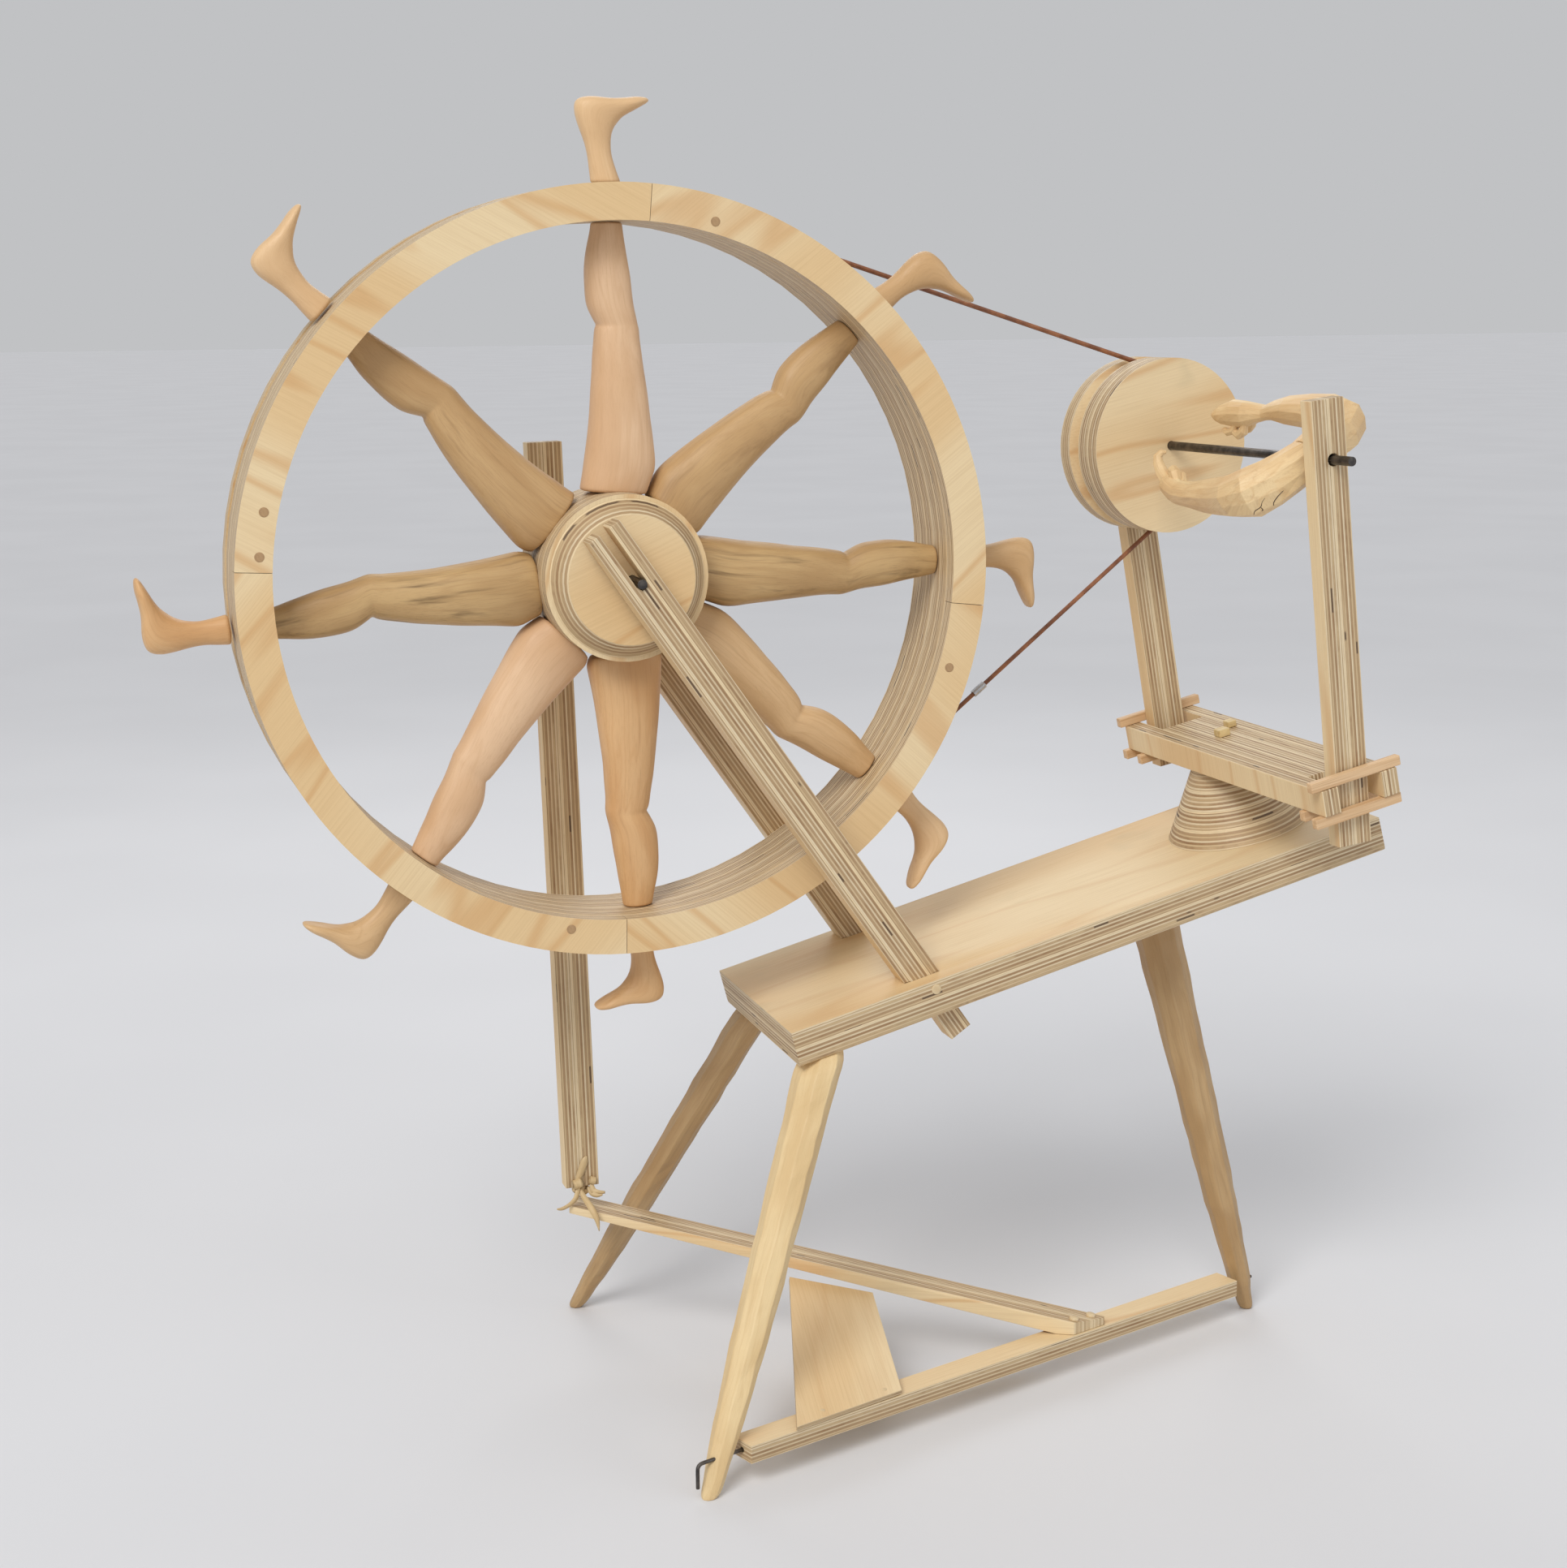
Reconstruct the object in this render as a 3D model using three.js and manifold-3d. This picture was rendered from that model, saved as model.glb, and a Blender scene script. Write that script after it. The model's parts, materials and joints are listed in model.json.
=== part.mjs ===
// A spinning wheel whose spokes are carved legs and whose flyer is a pair of carved arms.
// Millimetres, +Z up. X runs in the plane of the drive wheel towards the flyer, -Y is the front.
// While it is built, the drive wheel's axle stands over x = 0 and its mid-plane is y = 0.
import * as THREE from 'three';
import { mergeVertices } from 'three/addons/utils/BufferGeometryUtils.js';
import Module from 'manifold-3d';

const wasm = await Module();
wasm.setup();

// ---------------------------------------------------------------- driving dimensions
const SHEET = 18; // one sheet of plywood
const GAP = 0.3; // glue line or fit between two pieces
const PLAY = 0.8; // clearance around a turning piece

const AXLE_HEIGHT = 839;
const RIM_SHEETS = 6;
const RIM_OUTER = 363;
const RIM_INNER = 329;
const GROOVE_DEPTH = 14;
const HUB_RADIUS = 79;
// Each spoke is carved and set by hand, so its thigh, knee, ankle and foot stand at slightly
// different angles, clockwise from the top, and its sole at its own radius.
const SPOKES = [
  { thigh: 4.9, knee: 1.3, ankle: 0, foot: -2.5, sole: 443 },
  { thigh: 42.9, knee: 47.5, ankle: 46.7, foot: 47.8, sole: 444 },
  { thigh: 92.3, knee: 91.7, ankle: 90, foot: 88.9, sole: 436 },
  { thigh: 126.2, knee: 130.5, ankle: 128.8, foot: 130.2, sole: 449 },
  { thigh: 174.3, knee: 177.5, ankle: 177, foot: 175.6, sole: 430 },
  { thigh: 222.2, knee: 218, ankle: 215.9, foot: 216.2, sole: 444 },
  { thigh: 262.6, knee: 266.4, ankle: 264.1, foot: 263.9, sole: 445 },
  { thigh: 308.7, knee: 314.5, ankle: 312.9, foot: 312.7, sole: 445 },
];
const ROD = 4.75; // radius of the steel axle
const CRANK = 60;
const CRANK_ANGLE = -30; // where the crank rests, clockwise from the top

const BENCH_LENGTH = 656;
const BENCH_WIDTH = 245;
const BENCH_TILT = 14.8;
const BENCH_X = 135; // top edge of the bench's low end
const BENCH_Z = 402.5;
const STAND_MIDDLE = -4.4; // mid-plane of the bench and its legs

const POST_WIDE = 36;
const POST_THICK = 27;
const POST_LEAN = 34.8;
const POST_FRONTS = [-106.5, 81]; // front faces of the front and the back post

const CARRIER_AT = [624.4, -261.2, 630.7]; // top, front, wheel-side corner of the carrier
const CARRIER_TILT = 12.5;
const CARRIER_TURN = 3;
const CARRIER_PITCH = 1.25;
const CARRIER_LENGTH = 388;
const CARRIER_WIDTH = 85;
const CARRIER_THICK = 26;
const SLOT_WIDE = 49;
const SLOT_DEEP = 52;

const SPINDLE = 4.5; // radius
const SPINDLE_RISE = 305; // above the carrier's top face
const SPINDLE_TURN = 2.95; // against the carrier's length
const PULLEY_RADIUS = 89.6;
const PULLEY_GROOVE = 73;
const PULLEY_SHEETS = 4;
const PULLEY_AT = 287.4; // front face, along the spindle

const BAND = 2.4; // radius of the drive band
const FOOTMAN_FRONT = 138.5;
const HINGE_Z = 35;

const rad = THREE.MathUtils.degToRad;
const tan = (degrees) => Math.tan(rad(degrees));
const sin = (degrees) => Math.sin(rad(degrees));
const cos = (degrees) => Math.cos(rad(degrees));

// ---------------------------------------------------------------- materials
const finish = (color, roughness, metalness = 0) =>
  new THREE.MeshStandardMaterial({ color, roughness, metalness });
const PLY = finish(0xdcc49a, 0.6);
const LIMB = finish(0xc49a6c, 0.65);
const PALE_LIMB = finish(0xdcb98a, 0.65);
const HARDWOOD = finish(0xc69c6d, 0.55);
const TURNED = finish(0xcdb183, 0.6);
const STEEL = finish(0x4a4a4c, 0.35, 1);
const CORD = finish(0x7a4530, 0.7);
const STRAW = finish(0xd8c596, 0.8);

// ---------------------------------------------------------------- solids
// Merges shared corners and turns the faces outwards.
function closed(geometry) {
  geometry.deleteAttribute('normal');
  geometry.deleteAttribute('uv');
  const merged = mergeVertices(geometry, 1e-4);
  const place = merged.attributes.position;
  const index = merged.index.array;
  const corner = [new THREE.Vector3(), new THREE.Vector3(), new THREE.Vector3()];
  let volume = 0;
  for (let i = 0; i < index.length; i += 3) {
    corner.forEach((point, k) => point.fromBufferAttribute(place, index[i + k]));
    volume += corner[0].dot(corner[1].cross(corner[2]));
  }
  if (volume < 0) {
    for (let i = 0; i < index.length; i += 3) {
      [index[i], index[i + 1]] = [index[i + 1], index[i]];
    }
  }
  return merged;
}

const toManifold = (geometry) => {
  const solid = closed(geometry.clone());
  const vertProperties = new Float32Array(solid.attributes.position.array);
  const triVerts = new Uint32Array(solid.index.array);
  return new wasm.Manifold(new wasm.Mesh({ numProp: 3, vertProperties, triVerts }));
};

function fromManifold(manifold) {
  const mesh = manifold.getMesh();
  const geometry = new THREE.BufferGeometry();
  geometry.setAttribute('position', new THREE.BufferAttribute(mesh.vertProperties, 3));
  geometry.setIndex(new THREE.BufferAttribute(mesh.triVerts, 1));
  return geometry;
}

const combine = (verb, first, others) =>
  fromManifold(others.reduce((body, other) => body[verb](toManifold(other)), toManifold(first)));
const cut = (body, ...tools) => combine('subtract', body, tools);
const join = (body, ...pieces) => combine('add', body, pieces);
const within = (body, ...limits) => combine('intersect', body, limits);

function piece(name, geometry, material) {
  const mesh = new THREE.Mesh(closed(geometry), material);
  mesh.geometry.computeVertexNormals();
  mesh.name = name;
  return mesh;
}

// A box from its lowest corner to its highest corner.
function block(low, high) {
  const size = high.map((value, axis) => value - low[axis]);
  const middle = high.map((value, axis) => (value + low[axis]) / 2);
  return new THREE.BoxGeometry(...size).translate(...middle);
}

// An outline in X and Z, given thickness along Y.
function upright(shape, front, back, curveSegments = 12) {
  const settings = { depth: back - front, bevelEnabled: false, curveSegments };
  return new THREE.ExtrudeGeometry(shape, settings).rotateX(Math.PI / 2).translate(0, back, 0);
}

const polygon = (points) => new THREE.Shape(points.map(([x, y]) => new THREE.Vector2(x, y)));

// A profile of [radius, y] corners turned about the Y axis.
function turned(profile, segments) {
  const points = profile.map(([radius, y]) => new THREE.Vector2(radius, y));
  if (profile[0][0] > 0) {
    points.push(points[0].clone());
  }
  return new THREE.LatheGeometry(points, segments);
}

const rodAlongY = (radius, front, back, segments = 16) =>
  new THREE.CylinderGeometry(radius, radius, back - front, segments)
    .translate(0, (front + back) / 2, 0);

// A skin over a row of rings, each ring a list of corners, closed by a fan at each end.
function loft(rings) {
  const sides = rings[0].length;
  const points = rings.flat();
  const faces = [];
  for (let row = 0; row + 1 < rings.length; row += 1) {
    for (let side = 0; side < sides; side += 1) {
      const a = row * sides + side;
      const b = row * sides + ((side + 1) % sides);
      faces.push(a, b, a + sides, b, b + sides, a + sides);
    }
  }
  for (const [row, turn] of [[0, 1], [rings.length - 1, -1]]) {
    const middle = new THREE.Vector3();
    rings[row].forEach((point) => middle.addScaledVector(point, 1 / sides));
    points.push(middle);
    for (let side = 0; side < sides; side += 1) {
      const pair = [row * sides + ((side + 1) % sides), row * sides + side];
      faces.push(...(turn > 0 ? pair : pair.reverse()), points.length - 1);
    }
  }
  const geometry = new THREE.BufferGeometry().setFromPoints(points);
  geometry.setIndex(faces);
  return geometry;
}

// A ring round `centre`, reaching `across` one way and `along` the other. Its corners are
// drawn towards a square by `square`, from 0 for an ellipse to 1.
function ring(centre, across, along, sides = 10, square = 0.35) {
  const points = [];
  for (let side = 0; side < sides; side += 1) {
    const angle = ((side + 0.5) * 2 * Math.PI) / sides;
    const c = Math.cos(angle);
    const s = Math.sin(angle);
    const stretch = 1 + square * (1 / Math.max(Math.abs(c), Math.abs(s)) - 1);
    points.push(centre.clone().addScaledVector(across, c * stretch).addScaledVector(along, s * stretch));
  }
  return points;
}

// A route through chosen points, which an extrusion follows with one step per point.
class Route extends THREE.Curve {
  constructor(points) {
    super();
    this.points = points;
  }
  getPoint(t) {
    const last = this.points.length - 1;
    const first = Math.min(Math.floor(t * last + 1e-9), last - 1);
    return this.points[first].clone().lerp(this.points[first + 1], t * last - first);
  }
  getPointAt(u) {
    return this.getPoint(u);
  }
  getTangentAt(u) {
    const place = Math.round(u * (this.points.length - 1));
    const before = this.points[Math.max(place - 1, 0)];
    const after = this.points[Math.min(place + 1, this.points.length - 1)];
    return after.clone().sub(before).normalize();
  }
}

function tube(points, radius, sides = 8) {
  const section = new THREE.Shape();
  for (let side = 0; side < sides; side += 1) {
    const angle = (side * 2 * Math.PI) / sides;
    const corner = [radius * Math.cos(angle), radius * Math.sin(angle)];
    if (side === 0) {
      section.moveTo(...corner);
    } else {
      section.lineTo(...corner);
    }
  }
  const route = new Route(points);
  return new THREE.ExtrudeGeometry(section, { steps: points.length - 1, extrudePath: route });
}

const vector = (x, y, z) => new THREE.Vector3(x, y, z);

// Straight runs through the corners, with each inner corner bent to `bend` millimetres.
function bent(corners, bend, steps = 4) {
  const points = [corners[0]];
  for (let i = 1; i + 1 < corners.length; i += 1) {
    const back = corners[i - 1].clone().sub(corners[i]).setLength(bend).add(corners[i]);
    const ahead = corners[i + 1].clone().sub(corners[i]).setLength(bend).add(corners[i]);
    const curve = new THREE.QuadraticBezierCurve3(back, corners[i], ahead);
    points.push(...curve.getPoints(steps));
  }
  points.push(corners[corners.length - 1]);
  return points;
}

const object = new THREE.Group();

// ---------------------------------------------------------------- drive wheel
const HALF_RIM = (RIM_SHEETS * SHEET) / 2;
const wheel = new THREE.Group();
wheel.position.set(0, 0, AXLE_HEIGHT);
object.add(wheel);

// An arc of the rim between two angles clockwise from the top; the wheel's own axes.
function rimArc(outer, start, end, front, back) {
  const shape = new THREE.Shape();
  const first = rad(90 - start);
  const last = rad(90 - end);
  shape.absarc(0, 0, outer, first, last, true);
  shape.absarc(0, 0, RIM_INNER, last, first, false);
  shape.closePath();
  return upright(shape, front, back, 18);
}

const FRONT_JOINTS = [4.8, 96.5, 181.2, 273.1];
const jointGap = (GAP / RIM_OUTER) * (180 / Math.PI);
FRONT_JOINTS.forEach((start, i) => {
  const end = i + 1 < FRONT_JOINTS.length ? FRONT_JOINTS[i + 1] : FRONT_JOINTS[0] + 360;
  const arc = rimArc(RIM_OUTER, start + jointGap, end - jointGap, -HALF_RIM, -HALF_RIM + SHEET - GAP);
  wheel.add(piece(`rim_front_${i + 1}`, arc, PLY));
});

const GROOVED_SHEET = 4; // counted from 0 at the front
for (let sheet = 1; sheet < RIM_SHEETS; sheet += 1) {
  const front = -HALF_RIM + sheet * SHEET;
  const outer = sheet === GROOVED_SHEET ? RIM_OUTER - GROOVE_DEPTH : RIM_OUTER;
  const back = front + SHEET - GAP;
  const profile = [[RIM_INNER, front], [outer, front], [outer, back], [RIM_INNER, back]];
  wheel.add(piece(`rim_sheet_${sheet + 1}`, turned(profile, 72), PLY));
}

// A leg from hub to rim: [radius, half width, shift towards the calf, half depth].
const LEG = [
  [62, 40, 0, 24],
  [92, 37, 0, 26],
  [120, 32, 0, 26],
  [173, 26, 0, 23],
  [214, 22.5, 0, 20],
  [232, 21.5, 0, 19],
  [252, 22, 5, 19],
  [285, 21.5, 5, 18],
  [312, 17, 2, 14],
  [336, 15, 0, 13],
];
const THIGH_RADIUS = 90;
const KNEE_RADIUS = 235;

// The angle of a leg's centre line at a radius, against its ankle.
function bend({ thigh, knee, ankle }, radius) {
  if (radius < KNEE_RADIUS) {
    const share = (radius - THIGH_RADIUS) / (KNEE_RADIUS - THIGH_RADIUS);
    return THREE.MathUtils.lerp(thigh, knee, share) - ankle;
  }
  const share = Math.min((radius - KNEE_RADIUS) / (RIM_INNER - KNEE_RADIUS), 1);
  return THREE.MathUtils.lerp(knee, ankle, share) - ankle;
}

function legSpoke(spoke, before, after) {
  const rings = LEG.map(([radius, half, calf, depth]) => {
    const low = Math.max(-half - calf, -radius * tan(before / 2) + 1);
    const high = Math.min(half - calf, radius * tan(after / 2) - 1);
    const centre = vector((low + high) / 2, 0, radius);
    const section = ring(centre, vector((high - low) / 2, 0, 0), vector(0, depth, 0));
    const turn = rad(bend(spoke, radius));
    return section.map((point) => point.applyAxisAngle(vector(0, 1, 0), turn));
  });
  const hub = rodAlongY(HUB_RADIUS + GAP, -HALF_RIM, HALF_RIM, 48);
  const inside = rodAlongY(RIM_INNER - 2 * GAP, -HALF_RIM, HALF_RIM, 72);
  return cut(within(loft(rings), inside), hub);
}

// A foot outside the rim. Each row is one section from instep to heel or sole, measured from
// the ankle's line and from the sole: [instep offset, instep rise, heel offset, heel rise,
// half depth].
const FOOT = [
  [16, 62, -6, 60, 11.5],
  [16, 42, -8, 38, 12.5],
  [20, 30, -10, 12, 14],
  [25, 24, -4, 1, 15],
  [32, 18, 18, 0, 15],
  [42, 12, 40, 0, 15],
  [55, 8, 57, 1, 11],
];

function footSpoke({ ankle, foot, sole }) {
  const lean = ((foot - ankle) * Math.PI * sole) / 180;
  const shift = (radius) => (lean * (radius - RIM_OUTER)) / (sole - RIM_OUTER);
  const ankleRing = ring(vector(0, 0, RIM_OUTER + 1), vector(14.5, 0, 0), vector(0, 13, 0));
  const rings = FOOT.map(([instep, instepRise, heel, heelRise, depth]) => {
    const high = vector(instep + shift(sole - instepRise), 0, sole - instepRise);
    const low = vector(heel + shift(sole - heelRise), 0, sole - heelRise);
    const half = high.clone().sub(low).divideScalar(2);
    return ring(high.lerp(low, 0.5), half, vector(0, depth, 0));
  });
  return loft([ankleRing, ...rings]);
}

SPOKES.forEach((spoke, i) => {
  const before = (spoke.thigh - SPOKES[(i + SPOKES.length - 1) % SPOKES.length].thigh + 360) % 360;
  const after = (SPOKES[(i + 1) % SPOKES.length].thigh - spoke.thigh + 360) % 360;
  const leg = piece(`spoke_leg_${i + 1}`, legSpoke(spoke, before, after), LIMB);
  const foot = piece(`spoke_foot_${i + 1}`, footSpoke(spoke), PALE_LIMB);
  leg.rotation.y = rad(spoke.ankle);
  foot.rotation.y = rad(spoke.ankle);
  wheel.add(leg, foot);
});

const BORE = ROD + GAP;
const HUB_FACE = 75; // radius of the hub's cheeks where they meet the spokes
const HUB_NARROW = 61; // and at their outer faces
const hubFront = -HALF_RIM - GAP;
const hubBack = HALF_RIM + GAP;
const hubPieces = {
  hub_front: [
    [BORE, hubFront - SHEET],
    [HUB_NARROW, hubFront - SHEET],
    [HUB_FACE, hubFront],
    [BORE, hubFront],
  ],
  hub_core: [[BORE, -HALF_RIM], [HUB_RADIUS, -HALF_RIM], [HUB_RADIUS, HALF_RIM], [BORE, HALF_RIM]],
  hub_back: [[BORE, hubBack], [HUB_FACE, hubBack], [HUB_NARROW, hubBack + SHEET], [BORE, hubBack + SHEET]],
};
for (const [name, profile] of Object.entries(hubPieces)) {
  wheel.add(piece(name, turned(profile, 48), PLY));
}

// Steel axle, bent behind the back post into the crank and its pin.
const AXLE_FRONT = POST_FRONTS[0] - 3;
const CRANK_Y = 122;
const PIN_END = 135.3;
const axleRoute = bent(
  [
    vector(0, AXLE_FRONT, 0),
    vector(0, CRANK_Y, 0),
    vector(CRANK * sin(CRANK_ANGLE), CRANK_Y, CRANK * cos(CRANK_ANGLE)),
    vector(CRANK * sin(CRANK_ANGLE), PIN_END, CRANK * cos(CRANK_ANGLE)),
  ],
  9,
);
wheel.add(piece('axle_crank', tube(axleRoute, ROD, 12), STEEL));

// ---------------------------------------------------------------- bench and posts
// The bench's own axes: x along it from the low end, y from the mid-plane, z from the top face.
const bench = new THREE.Group();
bench.position.set(BENCH_X, STAND_MIDDLE, BENCH_Z);
bench.rotation.y = rad(-BENCH_TILT);
object.add(bench);

const BENCH_THICK = 2 * SHEET;
const LEAN_ON_BENCH = POST_LEAN - BENCH_TILT;
// Height of the axle square to the bench top, and how far along the bench it stands.
const axleRise = (AXLE_HEIGHT - BENCH_Z) * cos(BENCH_TILT) + BENCH_X * sin(BENCH_TILT);
const axleAlong = -BENCH_X * cos(BENCH_TILT) + (AXLE_HEIGHT - BENCH_Z) * sin(BENCH_TILT);
const postAlong = axleAlong + axleRise * tan(LEAN_ON_BENCH);
const axleUpPost = axleRise / cos(LEAN_ON_BENCH);
const POST_ABOVE_AXLE = 60;
const TENON_LENGTH = 73;
const TENON_WIDE = 24;
const FORK_WIDE = 2 * (ROD + PLAY);
const POST_HOLE_RISE = ROD + PLAY;

function post(front) {
  const half = POST_WIDE / 2;
  const shoulder = (x) => GAP / cos(LEAN_ON_BENCH) - x * tan(LEAN_ON_BENCH);
  const top = axleUpPost + POST_ABOVE_AXLE;
  const outline = polygon([
    [-TENON_WIDE / 2, -TENON_LENGTH],
    [TENON_WIDE / 2, -TENON_LENGTH],
    [TENON_WIDE / 2, shoulder(TENON_WIDE / 2)],
    [half, shoulder(half)],
    [half, top],
    [FORK_WIDE / 2, top],
    [FORK_WIDE / 2, axleUpPost],
    [FORK_WIDE / 4, axleUpPost - POST_HOLE_RISE],
    [-FORK_WIDE / 4, axleUpPost - POST_HOLE_RISE],
    [-FORK_WIDE / 2, axleUpPost],
    [-FORK_WIDE / 2, top],
    [-half, top],
    [-half, shoulder(-half)],
    [-TENON_WIDE / 2, shoulder(-TENON_WIDE / 2)],
  ]);
  return upright(outline, front, front + POST_THICK);
}

const mortises = [];
POST_FRONTS.forEach((front, i) => {
  const local = front - STAND_MIDDLE;
  const mesh = piece(`post_${i === 0 ? 'front' : 'back'}`, post(local), PLY);
  mesh.position.x = postAlong;
  mesh.rotation.y = rad(-LEAN_ON_BENCH);
  bench.add(mesh);
  const wide = TENON_WIDE / 2 + GAP;
  const hole = block([-wide, local - GAP, -TENON_LENGTH - 20], [wide, local + POST_THICK + GAP, 40]);
  mortises.push(hole.rotateY(mesh.rotation.y).translate(postAlong, 0, 0));
});

// ---------------------------------------------------------------- stand's legs
const LEG_SOCKET = 30;
const LEG_TENON = 11;
const LEGS = {
  leg_front_left: { along: 31, across: -100, foot: [12, -250] },
  leg_back_left: { along: 26, across: 90, foot: [-1, 237] },
  leg_right: { along: 439, across: -3, foot: [699, -6] },
};
// Share of the way from floor to bench, and half the width there.
const LEG_TAPER = [[0, 6.5], [0.03, 9.5], [0.1, 12.5], [0.3, 17.5], [0.55, 20.5], [0.8, 23], [1, 25]];

bench.updateMatrixWorld();
const sockets = [];
const PIN = 2; // radius of the treadle's steel pins

// The treadle's own axes: x along its hinge line from the front left leg, y towards the footman.
const treadle = new THREE.Group();
treadle.position.set(26.4, -241, HINGE_Z);
treadle.rotation.z = rad(19.2);
object.add(treadle);
treadle.updateMatrixWorld();
const pinHole = (radius, start, end) => rodAlongY(radius, start, end, 12).rotateZ(-Math.PI / 2);
const HINGE_LENGTH = 703; // from one leg to the other

for (const [name, { along, across, foot }] of Object.entries(LEGS)) {
  const seat = bench.localToWorld(vector(along, across, -BENCH_THICK - GAP));
  const ground = vector(foot[0], foot[1], 0);
  const slope = seat.clone().sub(ground).normalize();
  const benchX = vector(cos(BENCH_TILT), 0, sin(BENCH_TILT));
  const rings = LEG_TAPER.map(([share, half]) => {
    const across3 = vector(1, 0, 0).lerp(benchX, share).setLength(half);
    return ring(ground.clone().lerp(seat, share), across3, vector(0, half, 0), 12, 0.5);
  });
  for (const depth of [0, LEG_SOCKET]) {
    const centre = seat.clone().addScaledVector(slope, depth);
    rings.push(ring(centre, benchX.clone().setLength(LEG_TENON), vector(0, LEG_TENON, 0), 12, 0));
  }
  const pinned = pinHole(PIN + GAP, -40, HINGE_LENGTH + 40).applyMatrix4(treadle.matrixWorld);
  object.add(piece(name, cut(loft(rings), pinned), LIMB));

  const start = bench.worldToLocal(seat.clone().addScaledVector(slope, -20));
  const end = bench.worldToLocal(seat.clone().addScaledVector(slope, LEG_SOCKET + GAP));
  sockets.push(loft([start, end].map((centre) =>
    ring(centre, vector(LEG_TENON + GAP, 0, 0), vector(0, LEG_TENON + GAP, 0), 12, 0))));
}

const EDGE = 4; // rounding of the bench's lower edges
const benchSection = new THREE.Shape();
const halfBench = BENCH_WIDTH / 2;
benchSection.moveTo(-halfBench, 0);
benchSection.lineTo(-halfBench, -BENCH_THICK + EDGE);
benchSection.quadraticCurveTo(-halfBench, -BENCH_THICK, -halfBench + EDGE, -BENCH_THICK);
benchSection.lineTo(halfBench - EDGE, -BENCH_THICK);
benchSection.quadraticCurveTo(halfBench, -BENCH_THICK, halfBench, -BENCH_THICK + EDGE);
benchSection.lineTo(halfBench, 0);
benchSection.closePath();
const board = new THREE.ExtrudeGeometry(benchSection, {
  depth: BENCH_LENGTH,
  bevelEnabled: false,
  curveSegments: 3,
});
// The section's own x becomes Y and its own y becomes Z, so the length runs along X.
const section = new THREE.Matrix4().makeBasis(vector(0, 1, 0), vector(0, 0, 1), vector(1, 0, 0));
board.applyMatrix4(section);
bench.add(piece('bench', cut(board, ...mortises, ...sockets), PLY));

// ---------------------------------------------------------------- cone and spindle carrier
// The carrier's own axes: x across it from the wheel side, y from its front end, z from its top.
const carrier = new THREE.Group();
carrier.position.set(...CARRIER_AT);
carrier.rotation.set(rad(CARRIER_PITCH), rad(-CARRIER_TILT), rad(CARRIER_TURN), 'YZX');
object.add(carrier);
carrier.updateMatrixWorld();

const PRONG = (CARRIER_WIDTH - SLOT_WIDE) / 2;
const carrierOutline = polygon([
  [0, 0],
  [PRONG, 0],
  [PRONG, SLOT_DEEP],
  [CARRIER_WIDTH - PRONG, SLOT_DEEP],
  [CARRIER_WIDTH - PRONG, 0],
  [CARRIER_WIDTH, 0],
  [CARRIER_WIDTH, CARRIER_LENGTH],
  [CARRIER_WIDTH - PRONG, CARRIER_LENGTH],
  [CARRIER_WIDTH - PRONG, CARRIER_LENGTH - SLOT_DEEP],
  [PRONG, CARRIER_LENGTH - SLOT_DEEP],
  [PRONG, CARRIER_LENGTH],
  [0, CARRIER_LENGTH],
]);
const plank = new THREE.ExtrudeGeometry(carrierOutline, { depth: CARRIER_THICK, bevelEnabled: false });
plank.translate(0, 0, -CARRIER_THICK);
carrier.add(piece('spindle_carrier', plank, PLY));

const CONE_ALONG = 558;
const CONE_RADIUS = 75;
const CONE_SLOPE = 29; // lean of its side
const CONE_BLANK = 4.5 * SHEET; // before its top is planed to the carrier
const coneTop = CONE_RADIUS - CONE_BLANK * tan(CONE_SLOPE);
const coneBlank = turned([[0, GAP], [CONE_RADIUS, GAP], [coneTop, CONE_BLANK], [0, CONE_BLANK]], 48);
coneBlank.rotateX(Math.PI / 2);
const toBench = bench.matrixWorld.clone().invert().multiply(carrier.matrixWorld);
const overCone = block([-100, 0, -CARRIER_THICK - GAP], [200, CARRIER_LENGTH, 100]);
overCone.applyMatrix4(toBench).translate(-CONE_ALONG, 0, 0);
const cone = piece('cone', cut(coneBlank, overCone), TURNED);
cone.position.x = CONE_ALONG;
bench.add(cone);

// ---------------------------------------------------------------- flyer
// The flyer's own axes: y along the spindle, 0 level with the carrier's front end.
const SPINDLE_X = 74.4;
const flyer = new THREE.Group();
flyer.position.set(SPINDLE_X, 2.8, SPINDLE_RISE);
flyer.rotation.z = rad(SPINDLE_TURN);
carrier.add(flyer);

const SPINDLE_FRONT = -20;
const SPINDLE_BACK = 392;
flyer.add(piece('spindle', rodAlongY(SPINDLE, SPINDLE_FRONT, SPINDLE_BACK), STEEL));

const pulleyBack = PULLEY_AT + PULLEY_SHEETS * SHEET;
const grooveFront = PULLEY_AT + 2 * SHEET;
const spindleBore = SPINDLE + GAP;
const pulleyProfile = [
  [spindleBore, PULLEY_AT],
  [PULLEY_RADIUS, PULLEY_AT],
  [PULLEY_RADIUS, grooveFront],
  [PULLEY_GROOVE, grooveFront + SHEET / 3],
  [PULLEY_GROOVE, grooveFront + (SHEET * 2) / 3],
  [PULLEY_RADIUS, grooveFront + SHEET],
  [PULLEY_RADIUS, pulleyBack],
  [spindleBore, pulleyBack],
];
flyer.add(piece('pulley', turned(pulleyProfile, 60), PLY));

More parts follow.
